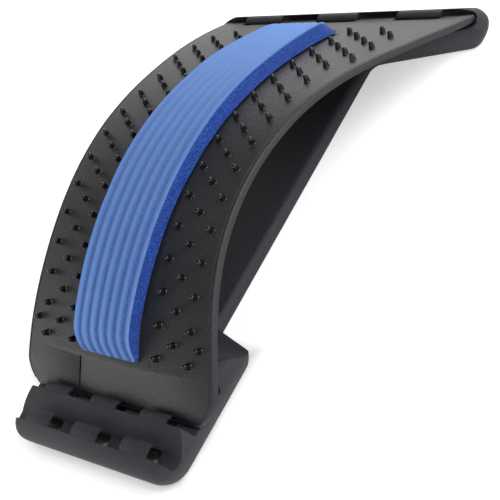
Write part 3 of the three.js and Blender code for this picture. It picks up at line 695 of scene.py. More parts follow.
def rear_side(sizes):
    at = places(sizes)
    low = sizes.waist_height - SEAM
    return [
        (at.rear_near - OVERRUN, -SEAM),
        (at.rear_near - OVERRUN, low),
        (at.rear_near + sizes.wall, low),
        (at.rear_near + sizes.rear_join, sizes.rim_height),
        (at.end - sizes.rim_run, sizes.rim_height),
        (at.rear_crest, sizes.lip),
        *[(at.rear_crest + away, z) for away, z in rounded_face(sizes, sizes.rear_bulge)[::-1]],
        (at.rear_crest + sizes.reach, -SEAM),
    ]


def slot_side(sizes, index):
    """A slot: an upright wall behind the lip, a narrow floor and a ramp up to the next lip"""
    crest = places(sizes).front_crest + sizes.slot_pitch * index
    high = sizes.lip + OVERRUN
    root = sizes.slot_root
    points = [(0, high)]
    for s, c in quarter_turns(ROOT_STEPS):
        points.append((root * (1 - c), sizes.slot_floor + root * (1 - s)))
    points.append((sizes.slot_width, sizes.slot_floor))
    if index == sizes.slots - 1:
        points.append((sizes.last_runout, sizes.slot_floor + sizes.crest))
        end = sizes.last_width
    else:
        end = sizes.slot_pitch - sizes.crest
    points += [(end, sizes.lip), (end, high)]
    return [(crest + y, z) for y, z in points]


def flap_side(sizes, crest, way, flap_length, rise, dip):
    """A hooked flap from the side: it carries on the slope behind the crest to a rounded tip"""
    top, under = [], []
    for share in FLAP_SHARES:
        height = sizes.lip + 4 * rise * share * (1 - share) - dip * share**2
        y = crest + way * flap_length * share
        nose = sizes.flap * NOSE_FALL * fallen(max(0, (share - NOSE_START) / (1 - NOSE_START)))
        top.append((y, height - nose))
        under.append((y, height - sizes.flap * (1 - TIP_TAPER * share) + nose * NOSE_LIFT))
    sunk = sizes.flap * ROOT_SHARE
    slope = 4 * rise / flap_length
    root = crest - way * sunk
    high = sizes.lip - sunk * slope - SEAM / 2
    return [(root, high - sizes.flap / 2), (root, high), *top, *reversed(under)]


def rib_places(sizes):
    """The ribs under the base, each from one X to another and from one Y to another"""
    at = places(sizes)
    half = sizes.rib / 2
    for k in (-1, 0, 1):
        middle = k * sizes.rib_pitch
        yield middle - half, middle + half, -at.end if k else at.deck, at.end
    for way in (-1, 1):
        x = sizes.rib_pitch + sizes.block_rib_pitch
        while x < sizes.rear_half - sizes.block_rib_pitch / 2:
            yield way * x - half, way * x + half, at.rear_near - sizes.wall, at.end
            if x < sizes.front_half - sizes.block_rib_pitch / 2:
                yield way * x - half, way * x + half, at.deck, at.waist
            x += sizes.block_rib_pitch
    y = at.waist
    while y < at.rear_near + sizes.rib:
        yield -sizes.rear_half, sizes.rear_half, y - half, y + half
        y += sizes.cross_rib_pitch
    for k in range(1, sizes.slots):
        y = at.front_crest + sizes.slot_pitch * k - sizes.reach / 2
        yield -sizes.front_half, sizes.front_half, y - half, y + half


def underside(sizes):
    """The hollow under the base, less its ribs"""
    at = places(sizes)
    wall = sizes.wall
    hollow = front_block(sizes, "front_hollow", wall)
    carve(hollow, rear_block(sizes, "rear_hollow", wall), "UNION")
    carve(hollow, waist_bar(sizes, "waist_hollow", wall), "UNION")
    slot_ceiling = sizes.slot_floor - wall
    waist_ceiling = sizes.waist_height - wall
    seat_ceiling = sizes.seat_floor - wall
    front_face = [p for p in rounded_face(sizes, sizes.bulge, wall) if p[0] > wall * 2]
    rear_face = [p for p in rounded_face(sizes, sizes.rear_bulge, wall)[::-1] if p[0] > wall * 2]
    side = [
        (at.front_crest - sizes.reach + wall, -OVERRUN * 2),
        *[(at.front_crest - away, z) for away, z in front_face],
        (at.front_crest - wall, slot_ceiling),
        (at.deck + wall / 2, slot_ceiling),
        (at.deck + wall, sizes.lip - wall),
        *eased_fall(at.deck + sizes.deck - wall, sizes.fall, sizes.lip - wall, waist_ceiling),
        (at.rear_near + wall, waist_ceiling),
        (at.rear_near + sizes.rear_join + wall, seat_ceiling),
        (at.rear_crest + wall, seat_ceiling),
        *[(at.rear_crest + away, z) for away, z in rear_face],
        (at.rear_crest + sizes.reach - wall, -OVERRUN * 2),
    ]
    carve(hollow, bar("hollow_side", side, sizes.rear_half), "INTERSECT")
    ribs = [block("rib", *place, sizes.rib_recess, sizes.lip) for place in rib_places(sizes)]
    return carve(hollow, join("ribs", ribs), crossing=True)


def foot_places():
    """Centres of the four feet, from the frame"""
    names = [f"foot_{end}_{side}" for end in ("front", "rear") for side in ("left", "right")]
    return {name: sum(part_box(name), Vector()) / 2 for name in names}


def flaps_and_holes(sizes):
    """The hooked flaps, and the moulding holes under them"""
    at = places(sizes)
    rows = []
    for k, sized in enumerate(FRONT_FLAPS):
        crest = at.front_crest + sizes.slot_pitch * k
        top = sizes.slot_floor + sizes.hole_rise
        margin = 0 if k else sizes.hole_margin
        rows.append((crest, 1, sized, top, margin, sizes.front_flap, sizes.front_flap_pitch))
    top = sizes.seat_floor + sizes.wall
    rows.append((at.rear_crest, -1, REAR_FLAP, top, 0, sizes.rear_flap, sizes.rear_flap_pitch))
    flaps, holes = [], []
    for crest, way, sized, top, margin, width, pitch in rows:
        out, rise, dip = (value * MM for value in sized)
        wide = width / 2 + margin
        near, far = sorted((crest + way * sizes.hole_inset, crest + way * out))
        hole = block("hole", -wide, wide, near, far, -OVERRUN, top)
        holes += three_across(hole, pitch)
        flap = bar("flap", flap_side(sizes, crest, way, out, rise, dip), width / 2)
        flaps += three_across(flap, pitch)
    return join("flaps", flaps), join("holes", holes)


def build_base(sizes):
    at = places(sizes)
    wide = sizes.rear_half + OVERRUN
    front = front_block(sizes, "front")
    carve(front, bar("front_side", front_side(sizes), wide), "INTERSECT")
    rear = rear_block(sizes, "rear")
    carve(rear, bar("rear_side", rear_side(sizes), wide), "INTERSECT")
    base = waist_bar(sizes, "base_moulding")
    carve(base, front, "UNION")
    carve(base, rear, "UNION")
    carve(base, join("slots", [bar("slot", slot_side(sizes, k), wide) for k in range(sizes.slots)]))

    inner = sizes.rear_half - sizes.seat_wall
    corners = [
        (sizes.rear_half - sizes.seat_corner_run, at.end - sizes.seat_length, 0),
        (inner, at.end - sizes.seat_end, sizes.seat_front_corner),
        (inner, at.rear_crest, sizes.seat_corner),
    ]
    # The corners at the seat's ends share a short edge: the one rounded last gets what is left of it
    seat = mirrored_outline("seat", corners, last_first=True)
    move(z=sizes.seat_floor)
    pull_out(z=sizes.lip + OVERRUN - sizes.seat_floor)
    carve(base, close_up(seat))
    carve(base, underside(sizes))
    flaps, holes = flaps_and_holes(sizes)
    carve(base, holes)
    carve(base, flaps, "UNION")

    radius = (FOOT_BOX[1].x - FOOT_BOX[0].x) / 2
    ceiling = sizes.slot_floor - sizes.wall + SEAM
    recess_top = FOOT_BOX[1].z - sizes.lift + sizes.boss_gap
    feet = [(centre.x, centre.y, 0) for centre in foot_places().values()]
    for reach, low, high, operation in (
        (radius + sizes.boss_wall, 0, ceiling, "UNION"),
        (radius + sizes.boss_gap, -OVERRUN, recess_top, "DIFFERENCE"),
    ):
        rounds = copies(cylinder(BOSS_SIDES, reach, low, high), feet)
        carve(base, join("bosses", rounds), operation)

    edit(base)
    move(z=sizes.lift)
    soften(base, sizes.soft_edge)
    return base


# The arch

# Places along the plate as shares of its half length, each with its share of the rear flare
FLARE = (
    (-1.04, 0.24), (-0.98, 0.27), (-0.9, 0.285), (-0.84, 0.27), (-0.76, 0.23), (-0.68, 0.175),
    (-0.6, 0.12), (-0.52, 0.07), (-0.44, 0.032), (-0.34, 0.006), (-0.24, 0.003), (-0.14, 0.018),
    (-0.04, 0.045), (0.06, 0.09), (0.16, 0.14), (0.24, 0.2), (0.32, 0.27), (0.4, 0.36),
    (0.48, 0.47), (0.56, 0.59), (0.64, 0.72), (0.72, 0.83), (0.8, 0.93), (0.88, 1.0), (1.04, 1.05),
)  # fmt: skip
GROOVE_STEPS, RIM_STEPS, REAR_STEPS, NOTCH_STEPS, PANEL_PARTS = 4, 8, 5, 4, 5
HEIGHT_DIGITS = 7  # to which the heights of a section's points are told apart


def flare_at(t):
    """Share of the rear flare at a share of the half length, on a smooth line through the table"""
    last = len(FLARE) - 1
    i = max(1, next((k for k in range(1, last) if FLARE[k][0] >= t), last))
    (t0, f0), (t1, f1) = FLARE[i - 1], FLARE[i]

    def slope(k):
        a, b = FLARE[max(k - 1, 0)], FLARE[min(k + 1, last)]
        return (b[1] - a[1]) / (b[0] - a[0])

    step = t1 - t0
    u = within((t - t0) / step)
    bent = (u**3 - 2 * u**2 + u) * slope(i - 1) + (u**3 - u**2) * slope(i)
    return f0 + (f1 - f0) * eased(u) + bent * step


def turn_at(arch, t):
    droop = arch.droop * max(0, t - arch.droop_share) ** 2
    ease = arch.front_ease * max(0, -t - arch.front_share) ** 2
    return -(arch.turn * t + arch.skew * t**2 + arch.ease * t**3 + arch.pitch + droop + ease)


def arch_line(arch, base):
    """Points of the guide line from front to rear, in Y and Z, placed by the plate's rear edge"""
    step = arch.over / arch.steps
    halves = []
    for way in (-1, 1):
        y = z = 0
        run = []
        for k in range(arch.steps + 1):
            run.append((y, z))
            middle = turn_at(arch, way * (k + 0.5) * step)
            y += way * math.cos(middle) * step * arch.half
            z += way * math.sin(middle) * step * arch.half
        halves.append(run)
    line = halves[0][::-1][:-1] + halves[1]
    place = (arch.rear_tip / arch.half / arch.over + 1) * arch.steps
    i = int(place)
    tip_y, tip_z = (line[i][n] + (line[i + 1][n] - line[i][n]) * (place - i) for n in (0, 1))
    shift_y = places(base).rear_crest - arch.rear_gap - tip_y
    shift_z = base.lift + base.seat_floor + arch.rest - tip_z
    return [(y + shift_y, z + shift_z) for y, z in line]


def bend(piece, arch, base):
    """Bends a piece modelled flat along X round the arch's guide line, from front to rear"""
    guide_curve = bpy.data.curves.new("arch_guide", "CURVE")
    guide_curve.dimensions = "3D"
    guide_curve.twist_mode = "Z_UP"
    line = arch_line(arch, base)
    spline = guide_curve.splines.new("POLY")
    spline.points.add(len(line) - 1)
    for point, (y, z) in zip(spline.points, line):
        point.co = (0, y, z, 1)
    guide = bpy.data.objects.new("arch_guide", guide_curve)
    bpy.context.scene.collection.objects.link(guide)
    edit(piece)
    move(x=arch.half * arch.over)
    pick(piece)
    bpy.ops.object.modifier_add(type="CURVE")
    curl = piece.modifiers[-1]
    curl.object = guide
    curl.deform_axis = "POS_X"
    bpy.ops.object.modifier_apply(modifier=curl.name)
    bpy.data.objects.remove(guide)


def half_width(arch, along):
    front = 1 - within((along + arch.front_tip) / arch.front_run)
    rear = 1 - within((arch.rear_tip - along) / arch.rear_run)
    flare = arch.flare * flare_at(along / arch.half)
    return arch.waist + flare - arch.front_corner * front**2 - arch.rear_corner * fallen(rear)


def rim_left(arch, along):
    """Share of the rim and its groove left at a place, as they fade towards the front edge"""
    share = eased(within((along + arch.front_tip) / arch.rim_fade))
    return arch.rim_least + (1 - arch.rim_least) * share


def plate_section(arch, along):
    """Right half of the plate's cross-section: distances in from the edge, and heights"""
    fade = rim_left(arch, along)
    depth = arch.thick + (arch.rim_depth - arch.thick) * fade
    groove = []
    for k in range(GROOVE_STEPS + 1):
        share = k / GROOVE_STEPS
        sunk = arch.groove_depth * fade * math.sin(share * math.pi)
        groove.append((arch.groove_inset + arch.groove_width * (1 - share), -sunk))
    rounded = depth * arch.rim_share
    rim = [(arch.rim_round * (1 - s), rounded * (c - 1)) for s, c in quarter_turns(RIM_STEPS)]
    under = [(0, -depth), (arch.rim_width, -depth), (arch.rim_width + SEAM, -arch.thick)]
    return [*groove, *rim, *under]


def stations_between(start, end, step):
    count_of = max(1, round((end - start) / step))
    return [start + (end - start) * k / count_of for k in range(1, count_of + 1)]


def plate_stations(arch):
    """Places along the plate, closer in front and round the rear corners"""
    shoulder = arch.tongue - arch.front_tip
    front_run = arch.front_run - arch.front_tip
    return [
        -arch.front_tip,
        shoulder - SEAM / 4,
        shoulder + SEAM / 4,
        *stations_between(shoulder + SEAM / 4, front_run, arch.front_station),
        *stations_between(front_run, arch.rear_tip - arch.rear_run, arch.station),
        *[arch.rear_tip - arch.rear_run * (1 - s) for s, _ in quarter_turns(REAR_STEPS)[1:]],
    ]


def at_place(x, z):
    """A test for the points at a place along a flat piece and at a height"""
    return lambda co: abs(co.x - x) < NEAR and abs(co.z - z) < LEVEL


def flat_plate(arch):
    """The plate's cross-section, pulled out flat along X from station to station"""
    stations = plate_stations(arch)
    shoulder = arch.tongue - arch.front_tip

    def section(along):
        wide = half_width(arch, along)
        drop = arch.tongue_step if along < shoulder else 0
        right = [(along, wide - away, z - drop) for away, z in plate_section(arch, along)]
        return right + [(x, -y, z) for x, y, z in reversed(right)]

    plate = outline("arch_moulding", section(stations[0]))
    for along, further in zip(stations, stations[1:]):
        pull_out(x=further - along)
        wider = half_width(arch, further) - half_width(arch, along)
        for way in (-1, 1):
            choose(lambda co, w=way, x=further: co.y * w > 0 and abs(co.x - x) < NEAR)
            move(y=way * wider)
        here, there = section(along), section(further)
        climbs = {round(old[2], HEIGHT_DIGITS): new[2] - old[2] for old, new in zip(here, there)}
        for height, climb in climbs.items():
            if abs(climb) > WELD / 10:
                choose(at_place(further, height))
                move(z=climb)
        choose(lambda co, x=further: abs(co.x - x) < NEAR)
    return close_up(plate)


def cut_notches(plate, arch, base):
    """Cuts the room for the flaps into both ends of the flat plate"""
    notches = []
    for width, pitch, edge, way, depth in (
        (base.front_flap, base.front_flap_pitch, -arch.front_tip, 1, arch.tongue),
        (base.rear_flap, base.rear_flap_pitch, arch.rear_tip, -1, arch.rear_notch),
    ):
        half = width / 2 + arch.notch_gap
        inner, outer = edge + way * depth, edge - way * OVERRUN
        corners = ((outer, -half), (inner, -half), (inner, half), (outer, half))
        cut = outline("notch", [(x, y, -2 * OVERRUN) for x, y in corners])
        for y in (-half, half):
            round_corner(inner, y, arch.notch_corner, NOTCH_STEPS)
        take_all()
        pull_out(z=4 * OVERRUN)
        notches += copies(close_up(cut), [(0, k * pitch, 0) for k in (-1, 0, 1)])
    carve(plate, join("notches", notches))


def cut_panel(plate, arch):
    """Sinks the bare panel in front, with a slit along one side"""
    front = arch.panel_margin - arch.front_tip
    rear = front + arch.panel_length
    half = arch.panel_half
    corners = [(front, -half, 0), (rear, -half, 0), (rear, half, 0), (front, half, 0)]
    panel = outline("panel", corners)
    for x, y, _ in corners:
        round_corner(x, y, arch.panel_corner, NOTCH_STEPS)
    take_all()
    move(z=-arch.panel_depth)
    pull_out(z=OVERRUN)
    for k in range(1, PANEL_PARTS):
        take_all()
        place = (front + (rear - front) * k / PANEL_PARTS, 0, 0)
        bpy.ops.mesh.bisect(plane_co=place, plane_no=(1, 0, 0))
    carve(plate, close_up(panel))
    near = half - arch.panel_slit
    carve(plate, block("slit", front, rear, near, half, -arch.panel_slit_depth, OVERRUN))


def build_plate(arch, base):
    """The plate, drawn flat, notched, given its panel, then bent"""
    plate = flat_plate(arch)
    cut_notches(plate, arch, base)
    cut_panel(plate, arch)
    soften(plate, arch.soft_edge)
    bend(plate, arch, base)
    return plate


# The nubs

DOME_STEPS = 6
FRONT_SHARE = 0.04  # share of the rows where the outermost column has its nub in front
REAR_SHARE = 0.79  # share of the rows behind which it has its nubs at the rear


def nub_places(nubs, arch):
    """Staggered columns on either side; the outermost has one nub in front and a few at the rear"""
    middle = int((arch.front_tip - nubs.end_margin) / (nubs.pitch_y / 2))
    rows = 2 * middle + 1
    found = []
    for column in range(nubs.columns + 1):
        outermost = column == nubs.columns
        for row in range(rows):
            in_front = row < rows * FRONT_SHARE
            if row % 2 != column % 2 or (outermost and not in_front and row <= rows * REAR_SHARE):
                continue
            across = nubs.inner + nubs.pitch_x * column
            if outermost and in_front:
                across -= nubs.front_inset
            along = (row - middle) * nubs.pitch_y / 2
            found += [(along, -across, 0), (along, across, 0)]
    return found


def build_nubs(nubs, arch, base):
    """A nub with a flared foot and a dome, copied to every place and bent with the plate"""
    release()
    bpy.ops.mesh.primitive_circle_add(vertices=nubs.sides, radius=nubs.foot, fill_type="NGON")
    nub = bpy.context.object
    edit(nub)
    move(z=-nubs.root)
    radius, height = nubs.foot, -nubs.root
    shoulder = nubs.height - nubs.tip
    rings = [
        (nubs.foot, nubs.foot_edge),
        (nubs.radius, nubs.foot_height),
        ((nubs.radius + nubs.tip) / 2, shoulder / 2),
        (nubs.tip, shoulder),
    ]
    rings += [(nubs.tip * c, shoulder + nubs.tip * s) for s, c in quarter_turns(DOME_STEPS)[1:-1]]
    for next_radius, next_height in rings:
        pull_out(z=next_height - height)
        grow(next_radius / radius, next_radius / radius, 1)
        radius, height = next_radius, next_height
    bpy.ops.mesh.poke()
    choose(lambda co: co.z > height - WELD and math.hypot(co.x, co.y) < NEAR)
    move(z=nubs.height - height)
    close_up(nub)
    field = join("plate_nubs", copies(nub, nub_places(nubs, arch)))
    bend(field, arch, base)
    return field


# The foam strip

# Places along the strip as shares of the arch's half length, each with the strip's sideways shift, the
# height that it gains, and half its width at the top and at the plate, as shares of its thickness
STRIP = (
    (-0.82, -0.24, 0.08, 2.98, 3.08),
    (-0.68, -0.24, 0.07, 3, 3.04),
    (-0.45, 0.06, 0, 3.08, 3.24),
    (-0.26, 0.24, -0.055, 3.135, 3.34),
    (-0.12, 0.26, -0.065, 3.195, 3.51),
    (0, 0.26, -0.065, 3.195, 3.56),
    (0.13, 0.22, -0.03, 3.165, 3.61),
    (0.26, 0.16, 0, 3.125, 3.61),
    (0.38, 0.05, 0.05, 3.19, 3.58),
    (0.5, 0, 0.12, 3.09, 3.41),
    (0.66, 0, 0.17, 2.75, 3.2),
    (0.8, 0, 0.14, 2.65, 3.15),
)  # fmt: skip
FRONT_FALL, REAR_FALL = 0.9, 0.92  # shares of its height that the strip loses at its ends
FRONT_POWER = 1.9  # how suddenly it does so in front
SIDE_ROWS = (0, 0.25, 0.5, 0.75)  # rows up its cut side
ROUND_STEPS, ACROSS_STEPS, FRONT_PARTS, REAR_PARTS = 3, 30, 10, 14
NOSE_POWER = 1.5  # how much closer the stations lie towards the front end
RIB_START = 8  # how soon the ribs reach their full depth in from the edge
CUT_TOP, CUT_SHARE = 0.75, 0.99  # how far up and in a point still counts as cut side


def strip_at(foam, arch, along):
    """Shift, height, and half widths at the top and at the plate, at a place along the strip"""
    t = along / arch.half
    i = max(1, next((k for k, row in enumerate(STRIP) if row[0] >= t), len(STRIP) - 1))
    low, high = STRIP[i - 1], STRIP[i]
    u = within((t - low[0]) / (high[0] - low[0]))
    shift, gain, top_half, low_half = (
        (a + (b - a) * u) * foam.thick for a, b in zip(low[1:], high[1:])
    )
    to_front = along + arch.front_tip - foam.front_margin
    to_rear = arch.rear_tip - foam.rear_margin - along
    in_front = max(0, 1 - to_front / foam.front_nose)
    behind = max(0, 1 - to_rear / foam.rear_nose)
    left = 1 - FRONT_FALL * in_front**FRONT_POWER - REAR_FALL * fallen(behind)
    drawn = foam.corner * fallen(max(0, 1 - min(to_front, to_rear) / foam.corner))
    narrowed = foam.crown_draw * fallen(max(0, 1 - to_rear / foam.crown_corner))
    return -shift, (foam.thick + gain) * left, top_half - drawn - narrowed, low_half - drawn


def strip_rows(foam, arch, along):
    """Half width and height of each row up the cut side, and of the ribbed top"""
    shift, height, top_half, low_half = strip_at(foam, arch, along)
    flat = height * (1 - foam.edge / foam.thick)
    drawn = top_half - low_half
    rows = [(low_half + drawn * share, foam.glue + flat * share) for share in SIDE_ROWS]
    return shift, rows + [(top_half, foam.glue + height)]


def rib_wave(foam, share):
    """1 on a rib's crest and 0 in a groove, at a share of the way from the middle to the edge"""
    return math.cos(share * math.pi * foam.ribs / 2) ** 2


def strip_section(foam, arch, along):
    """Outline of the strip across, from its underside up the cut side and over its ribs"""
    shift, rows = strip_rows(foam, arch, along)
    half, top = rows[-1]
    scale = (top - foam.glue) / foam.thick
    edge = foam.edge * scale
    right = rows[:-1]
    right += [(half - edge * (1 - c), top - edge * (1 - s)) for s, c in quarter_turns(ROUND_STEPS)]
    for k in range(1, ACROSS_STEPS + 1):
        share = 1 - k / ACROSS_STEPS
        sunk = foam.rise * (1 - rib_wave(foam, share)) * min(1, (1 - share) * RIB_START) * scale
        right.append(((half - edge) * share, top - sunk))
    return [(shift + y, z) for y, z in right] + [(shift - y, z) for y, z in reversed(right[:-1])]


def fit_rows(foam, arch, along, further):
    """Brings the loop just pulled out further along from the rows of the last place to its own.

    Rising rows are taken from the top down and falling rows from the bottom up, so none is met twice.
    """
    shift, rows = strip_rows(foam, arch, along)
    next_shift, next_rows = strip_rows(foam, arch, further)
    order = range(len(rows))
    for k in reversed(order) if next_rows[-1][1] > rows[-1][1] else order:
        (half, z), (next_half, next_z) = rows[k], next_rows[k]
        if k < len(rows) - 1:
            choose(lambda co, z=z: abs(co.x - further) < WELD and abs(co.z - z) < WELD)
            taller = 1
        else:
            choose(lambda co, z=rows[-2][1]: abs(co.x - further) < WELD and co.z > z + WELD)
            taller = (next_z - foam.glue) / (z - foam.glue)
        grow(1, next_half / half, taller, (further, shift, z))
        move(y=next_shift - shift, z=next_z - z)


def build_foam(foam, arch, base):
    """The strip: a section pulled out flat along X, fitted row by row at each station, then bent"""
    front = foam.front_margin - arch.front_tip
    rear = arch.rear_tip - foam.rear_margin
    shares = [(k / FRONT_PARTS) ** NOSE_POWER for k in range(FRONT_PARTS + 1)]
    stations = [front + foam.front_nose * share for share in shares]
    rear_ends = [rear - foam.crown_corner * (1 - s) for s, _ in quarter_turns(REAR_PARTS)]
    stations += stations_between(stations[-1], rear_ends[0], foam.station) + rear_ends[1:]
    section = strip_section(foam, arch, stations[0])
    strip = outline("foam_strip", [(stations[0], y, z) for y, z in section])
    for along, further in zip(stations, stations[1:]):
        pull_out(x=further - along)
        fit_rows(foam, arch, along, further)
        choose(lambda co, x=further: abs(co.x - x) < NEAR)
    close_up(strip)
    mark_strip(strip, foam, arch)
    bend(strip, arch, base)
    return strip


def mark_strip(strip, foam, arch):
    """Notes how near each point is to a rib's crest, and whether it lies on a cut side.

    The painted shade in the grooves and the painted highlight on the crests fade towards the rear,
    where a painted highlight makes the whole strip paler.
    """
    crest = strip.data.attributes.new("crest", "FLOAT", "POINT")
    side = strip.data.attributes.new("side", "FLOAT", "POINT")
    along = [vertex.co.x for vertex in strip.data.vertices]
    front, rear = min(along), max(along)
    for vertex in strip.data.vertices:
        behind = (vertex.co.x - front) / (rear - front)
        fade = min(1, behind * foam.rib_fade)
        shift, rows = strip_rows(foam, arch, vertex.co.x)
        half, top = rows[-1]
        edge = foam.edge * (top - foam.glue) / foam.thick
        share = min(1, abs(vertex.co.y - shift) / (half - edge))
        # Painted light: towards the rear the rib shading gives way to a tone that grows paler with the
        # distance from the front
        crest.data[vertex.index].value = rib_wave(foam, share) * (1 - fade) + behind * fade
        side.data[vertex.index].value = vertex.co.z < top - edge * CUT_TOP and share > CUT_SHARE


# Materials

# What each moulded material reflects, and the grain of its mould
PLASTICS = {
    "base_plastic": {"gloss": 0.26, "roughness": 0.6, "scale": 750, "depth": 0.0005, "speckle": 0.8},
    "plate_plastic": {"gloss": 0.4, "roughness": 0.5, "scale": 750, "depth": 0.0004, "speckle": 0.8},
    "nub_plastic": {"gloss": 0.4, "roughness": 0.24, "scale": 900, "depth": 0.00001, "speckle": 0.05},
    "foot_rubber": {"gloss": 0.3, "roughness": 0.8, "scale": 1200, "depth": 0.00008, "speckle": 0.15},
}


def feed(tree, target, value):
    """Sets an input to a value, or links it to an output"""
    if isinstance(value, bpy.types.NodeSocket):
        tree.links.new(value, target)
    else:
        target.default_value = value


def calc(tree, operation, *values):
    node = tree.nodes.new("ShaderNodeMath")
    node.operation = operation
    for target, value in zip(node.inputs, values):
        feed(tree, target, value)
    return node.outputs[0]


def held(tree, value):
    """The value held between 0 and 1"""
    return calc(tree, "MINIMUM", calc(tree, "MAXIMUM", value, 0.0), 1.0)


def mask(tree, value, above, sharpness):
    """A mask of where the value lies above a level"""
    return held(tree, calc(tree, "MULTIPLY", calc(tree, "SUBTRACT", value, above), sharpness))


def blend(tree, first, share, second, other_share=1.0):
    """The sum of two values, each with its share"""
    return calc(tree, "MULTIPLY_ADD", first, share, calc(tree, "MULTIPLY", second, other_share))


def places_on(tree):
    """Places on the object itself, which no pose changes"""
    return tree.nodes.new("ShaderNodeTexCoord").outputs["Object"]


def noise(tree, scale, detail=2.0, roughness=0.6):
    node = tree.nodes.new("ShaderNodeTexNoise")
    node.inputs["Detail"].default_value = detail
    node.inputs["Roughness"].default_value = roughness
    feed(tree, node.inputs["Scale"], scale)
    feed(tree, node.inputs["Vector"], places_on(tree))
    return node.outputs["Fac"]


def tinted(tint, times=(1, 1, 1), plus=(0, 0, 0)):
    """The colour with each channel multiplied and raised, and full alpha"""
    return (*(min(1, channel * t + p) for channel, t, p in zip(tint, times, plus)), 1)


def even(value):
    return (value,) * 3


def mix(tree, low, high, factor):
    """A colour between two others"""
    node = tree.nodes.new("ShaderNodeMix")
    node.data_type = "RGBA"
    for at, value in ((0, factor), (6, low), (7, high)):
        feed(tree, node.inputs[at], value)
    return node.outputs[2]


def new_group(name, inputs, outputs):
    group = bpy.data.node_groups.new(name, "ShaderNodeTree")
    for way, names in (("INPUT", inputs), ("OUTPUT", outputs)):
        for label in names:
            group.interface.new_socket(name=label, in_out=way, socket_type="NodeSocketFloat")
    return group, group.nodes.new("NodeGroupInput"), group.nodes.new("NodeGroupOutput")


COARSER = 0.42  # scale of the grain's coarser part, as a share of the fine part's
FINE_SHARE = 0.6  # share of the fine part in a height
FOAM_NOISE = 0.6  # scale of the noise in the foam, as a share of the cells'


def spark_grain():
    """Spark-eroded mould grain: a height and a mask of fine speckle"""
    group, entry, end = new_group("spark_grain", ("Scale", "Speckle"), ("Height", "Mask"))
    scale, speckle = entry.outputs["Scale"], entry.outputs["Speckle"]
    fine = noise(group, scale)
    coarse = noise(group, calc(group, "MULTIPLY", scale, COARSER), roughness=0.5)
    feed(group, end.inputs["Height"], blend(group, fine, FINE_SHARE, coarse, 1 - FINE_SHARE))
    specks = mask(group, fine, above=0.56, sharpness=7.0)
    feed(group, end.inputs["Mask"], calc(group, "MULTIPLY", specks, speckle))
    return group


def handling():
    """Slow changes over a surface, from moulding flow and from hands"""
    group, entry, end = new_group("handling", ("Scale", "Amount"), ("Factor",))
    scale, amount = entry.outputs["Scale"], entry.outputs["Amount"]
    centred = calc(group, "SUBTRACT", noise(group, scale, detail=4.0), 0.5)
    feed(group, end.inputs["Factor"], calc(group, "MULTIPLY", centred, amount))
    return group


def foam_cells():
    """Closed cells of foam: a height, and a mask of the pale cell walls that a cut opens"""
    group, entry, end = new_group("foam_cells", ("Scale",), ("Height", "Walls"))
    scale = entry.outputs["Scale"]
    cells = group.nodes.new("ShaderNodeTexVoronoi")
    cells.feature = "F1"
    feed(group, cells.inputs["Vector"], places_on(group))
    feed(group, cells.inputs["Scale"], scale)
    distance = cells.outputs["Distance"]
    fine = noise(group, calc(group, "MULTIPLY", scale, FOAM_NOISE))
    feed(group, end.inputs["Height"], blend(group, fine, FINE_SHARE, distance))
    walls = mask(group, calc(group, "ADD", distance, fine), above=0.98, sharpness=5.0)
    feed(group, end.inputs["Walls"], walls)
    return group


def effect(tree, make, **values):
    """A node with the effect's group, which is made once, and with its values"""
    node = tree.nodes.new("ShaderNodeGroup")
    node.node_tree = bpy.data.node_groups.get(make.__name__) or make()
    for label, value in values.items():
        node.inputs[label.capitalize()].default_value = value
    return node.outputs


def blank_material(name, roughness, gloss):
    material = bpy.data.materials.new(name)
    material.use_nodes = True
    tree = material.node_tree
    shader = tree.nodes["Principled BSDF"]
    shader.inputs["Roughness"].default_value = roughness
    shader.inputs["Specular IOR Level"].default_value = gloss
    return material, tree, shader


def bump(tree, shader, height, distance, strength=1.0):
    node = tree.nodes.new("ShaderNodeBump")
    node.inputs["Strength"].default_value = strength
    node.inputs["Distance"].default_value = distance
    feed(tree, node.inputs["Height"], height)
    feed(tree, shader.inputs["Normal"], node.outputs["Normal"])


def drifting(tree, tint, scale, amount, low, high=1):
    """A colour that drifts slowly between two shades of the tint, and the drift itself"""
    drift = effect(tree, handling, scale=scale, amount=amount)["Factor"]
    shades = tinted(tint, even(low)), tinted(tint, even(high))
    return mix(tree, *shades, calc(tree, "ADD", drift, 0.5)), drift


DRIFT_ROUGH, SPECK_ROUGH = 0.5, 0.2  # how much rougher drift and specks make a plastic


def moulded_plastic(name, tint):
    """Plastic or rubber out of a grained mould, with pale speckle, on a slowly drifting shade"""
    look = PLASTICS[name]
    material, tree, shader = blank_material(name, look["roughness"], look["gloss"])
    grain = effect(tree, spark_grain, scale=look["scale"], speckle=look["speckle"])
    shade, drift = drifting(tree, tint, low=0.82, high=1.25, scale=11.0, amount=0.12)
    speckled = mix(tree, tinted(tint), tinted(tint, times=even(2.6), plus=even(0.01)), grain["Mask"])
    feed(tree, shader.inputs["Base Color"], mix(tree, speckled, shade, factor=0.4))
    rough = calc(tree, "MULTIPLY_ADD", drift, DRIFT_ROUGH, look["roughness"])
    rough = calc(tree, "MULTIPLY_ADD", grain["Mask"], SPECK_ROUGH, rough)
    feed(tree, shader.inputs["Roughness"], rough)
    bump(tree, shader, grain["Height"], look["depth"])
    return material


RIB_CELLS, CUT_CELLS = 0.3, 0.5  # how far the pale cells show on the ribs and on the cut sides
DRIFT_SHADE, LEAST_SHADE = 0.6, 0.06  # how far a deeper blue covers the foam
WALL_ROUGH, LEAST_ROUGH = 0.08, 0.84


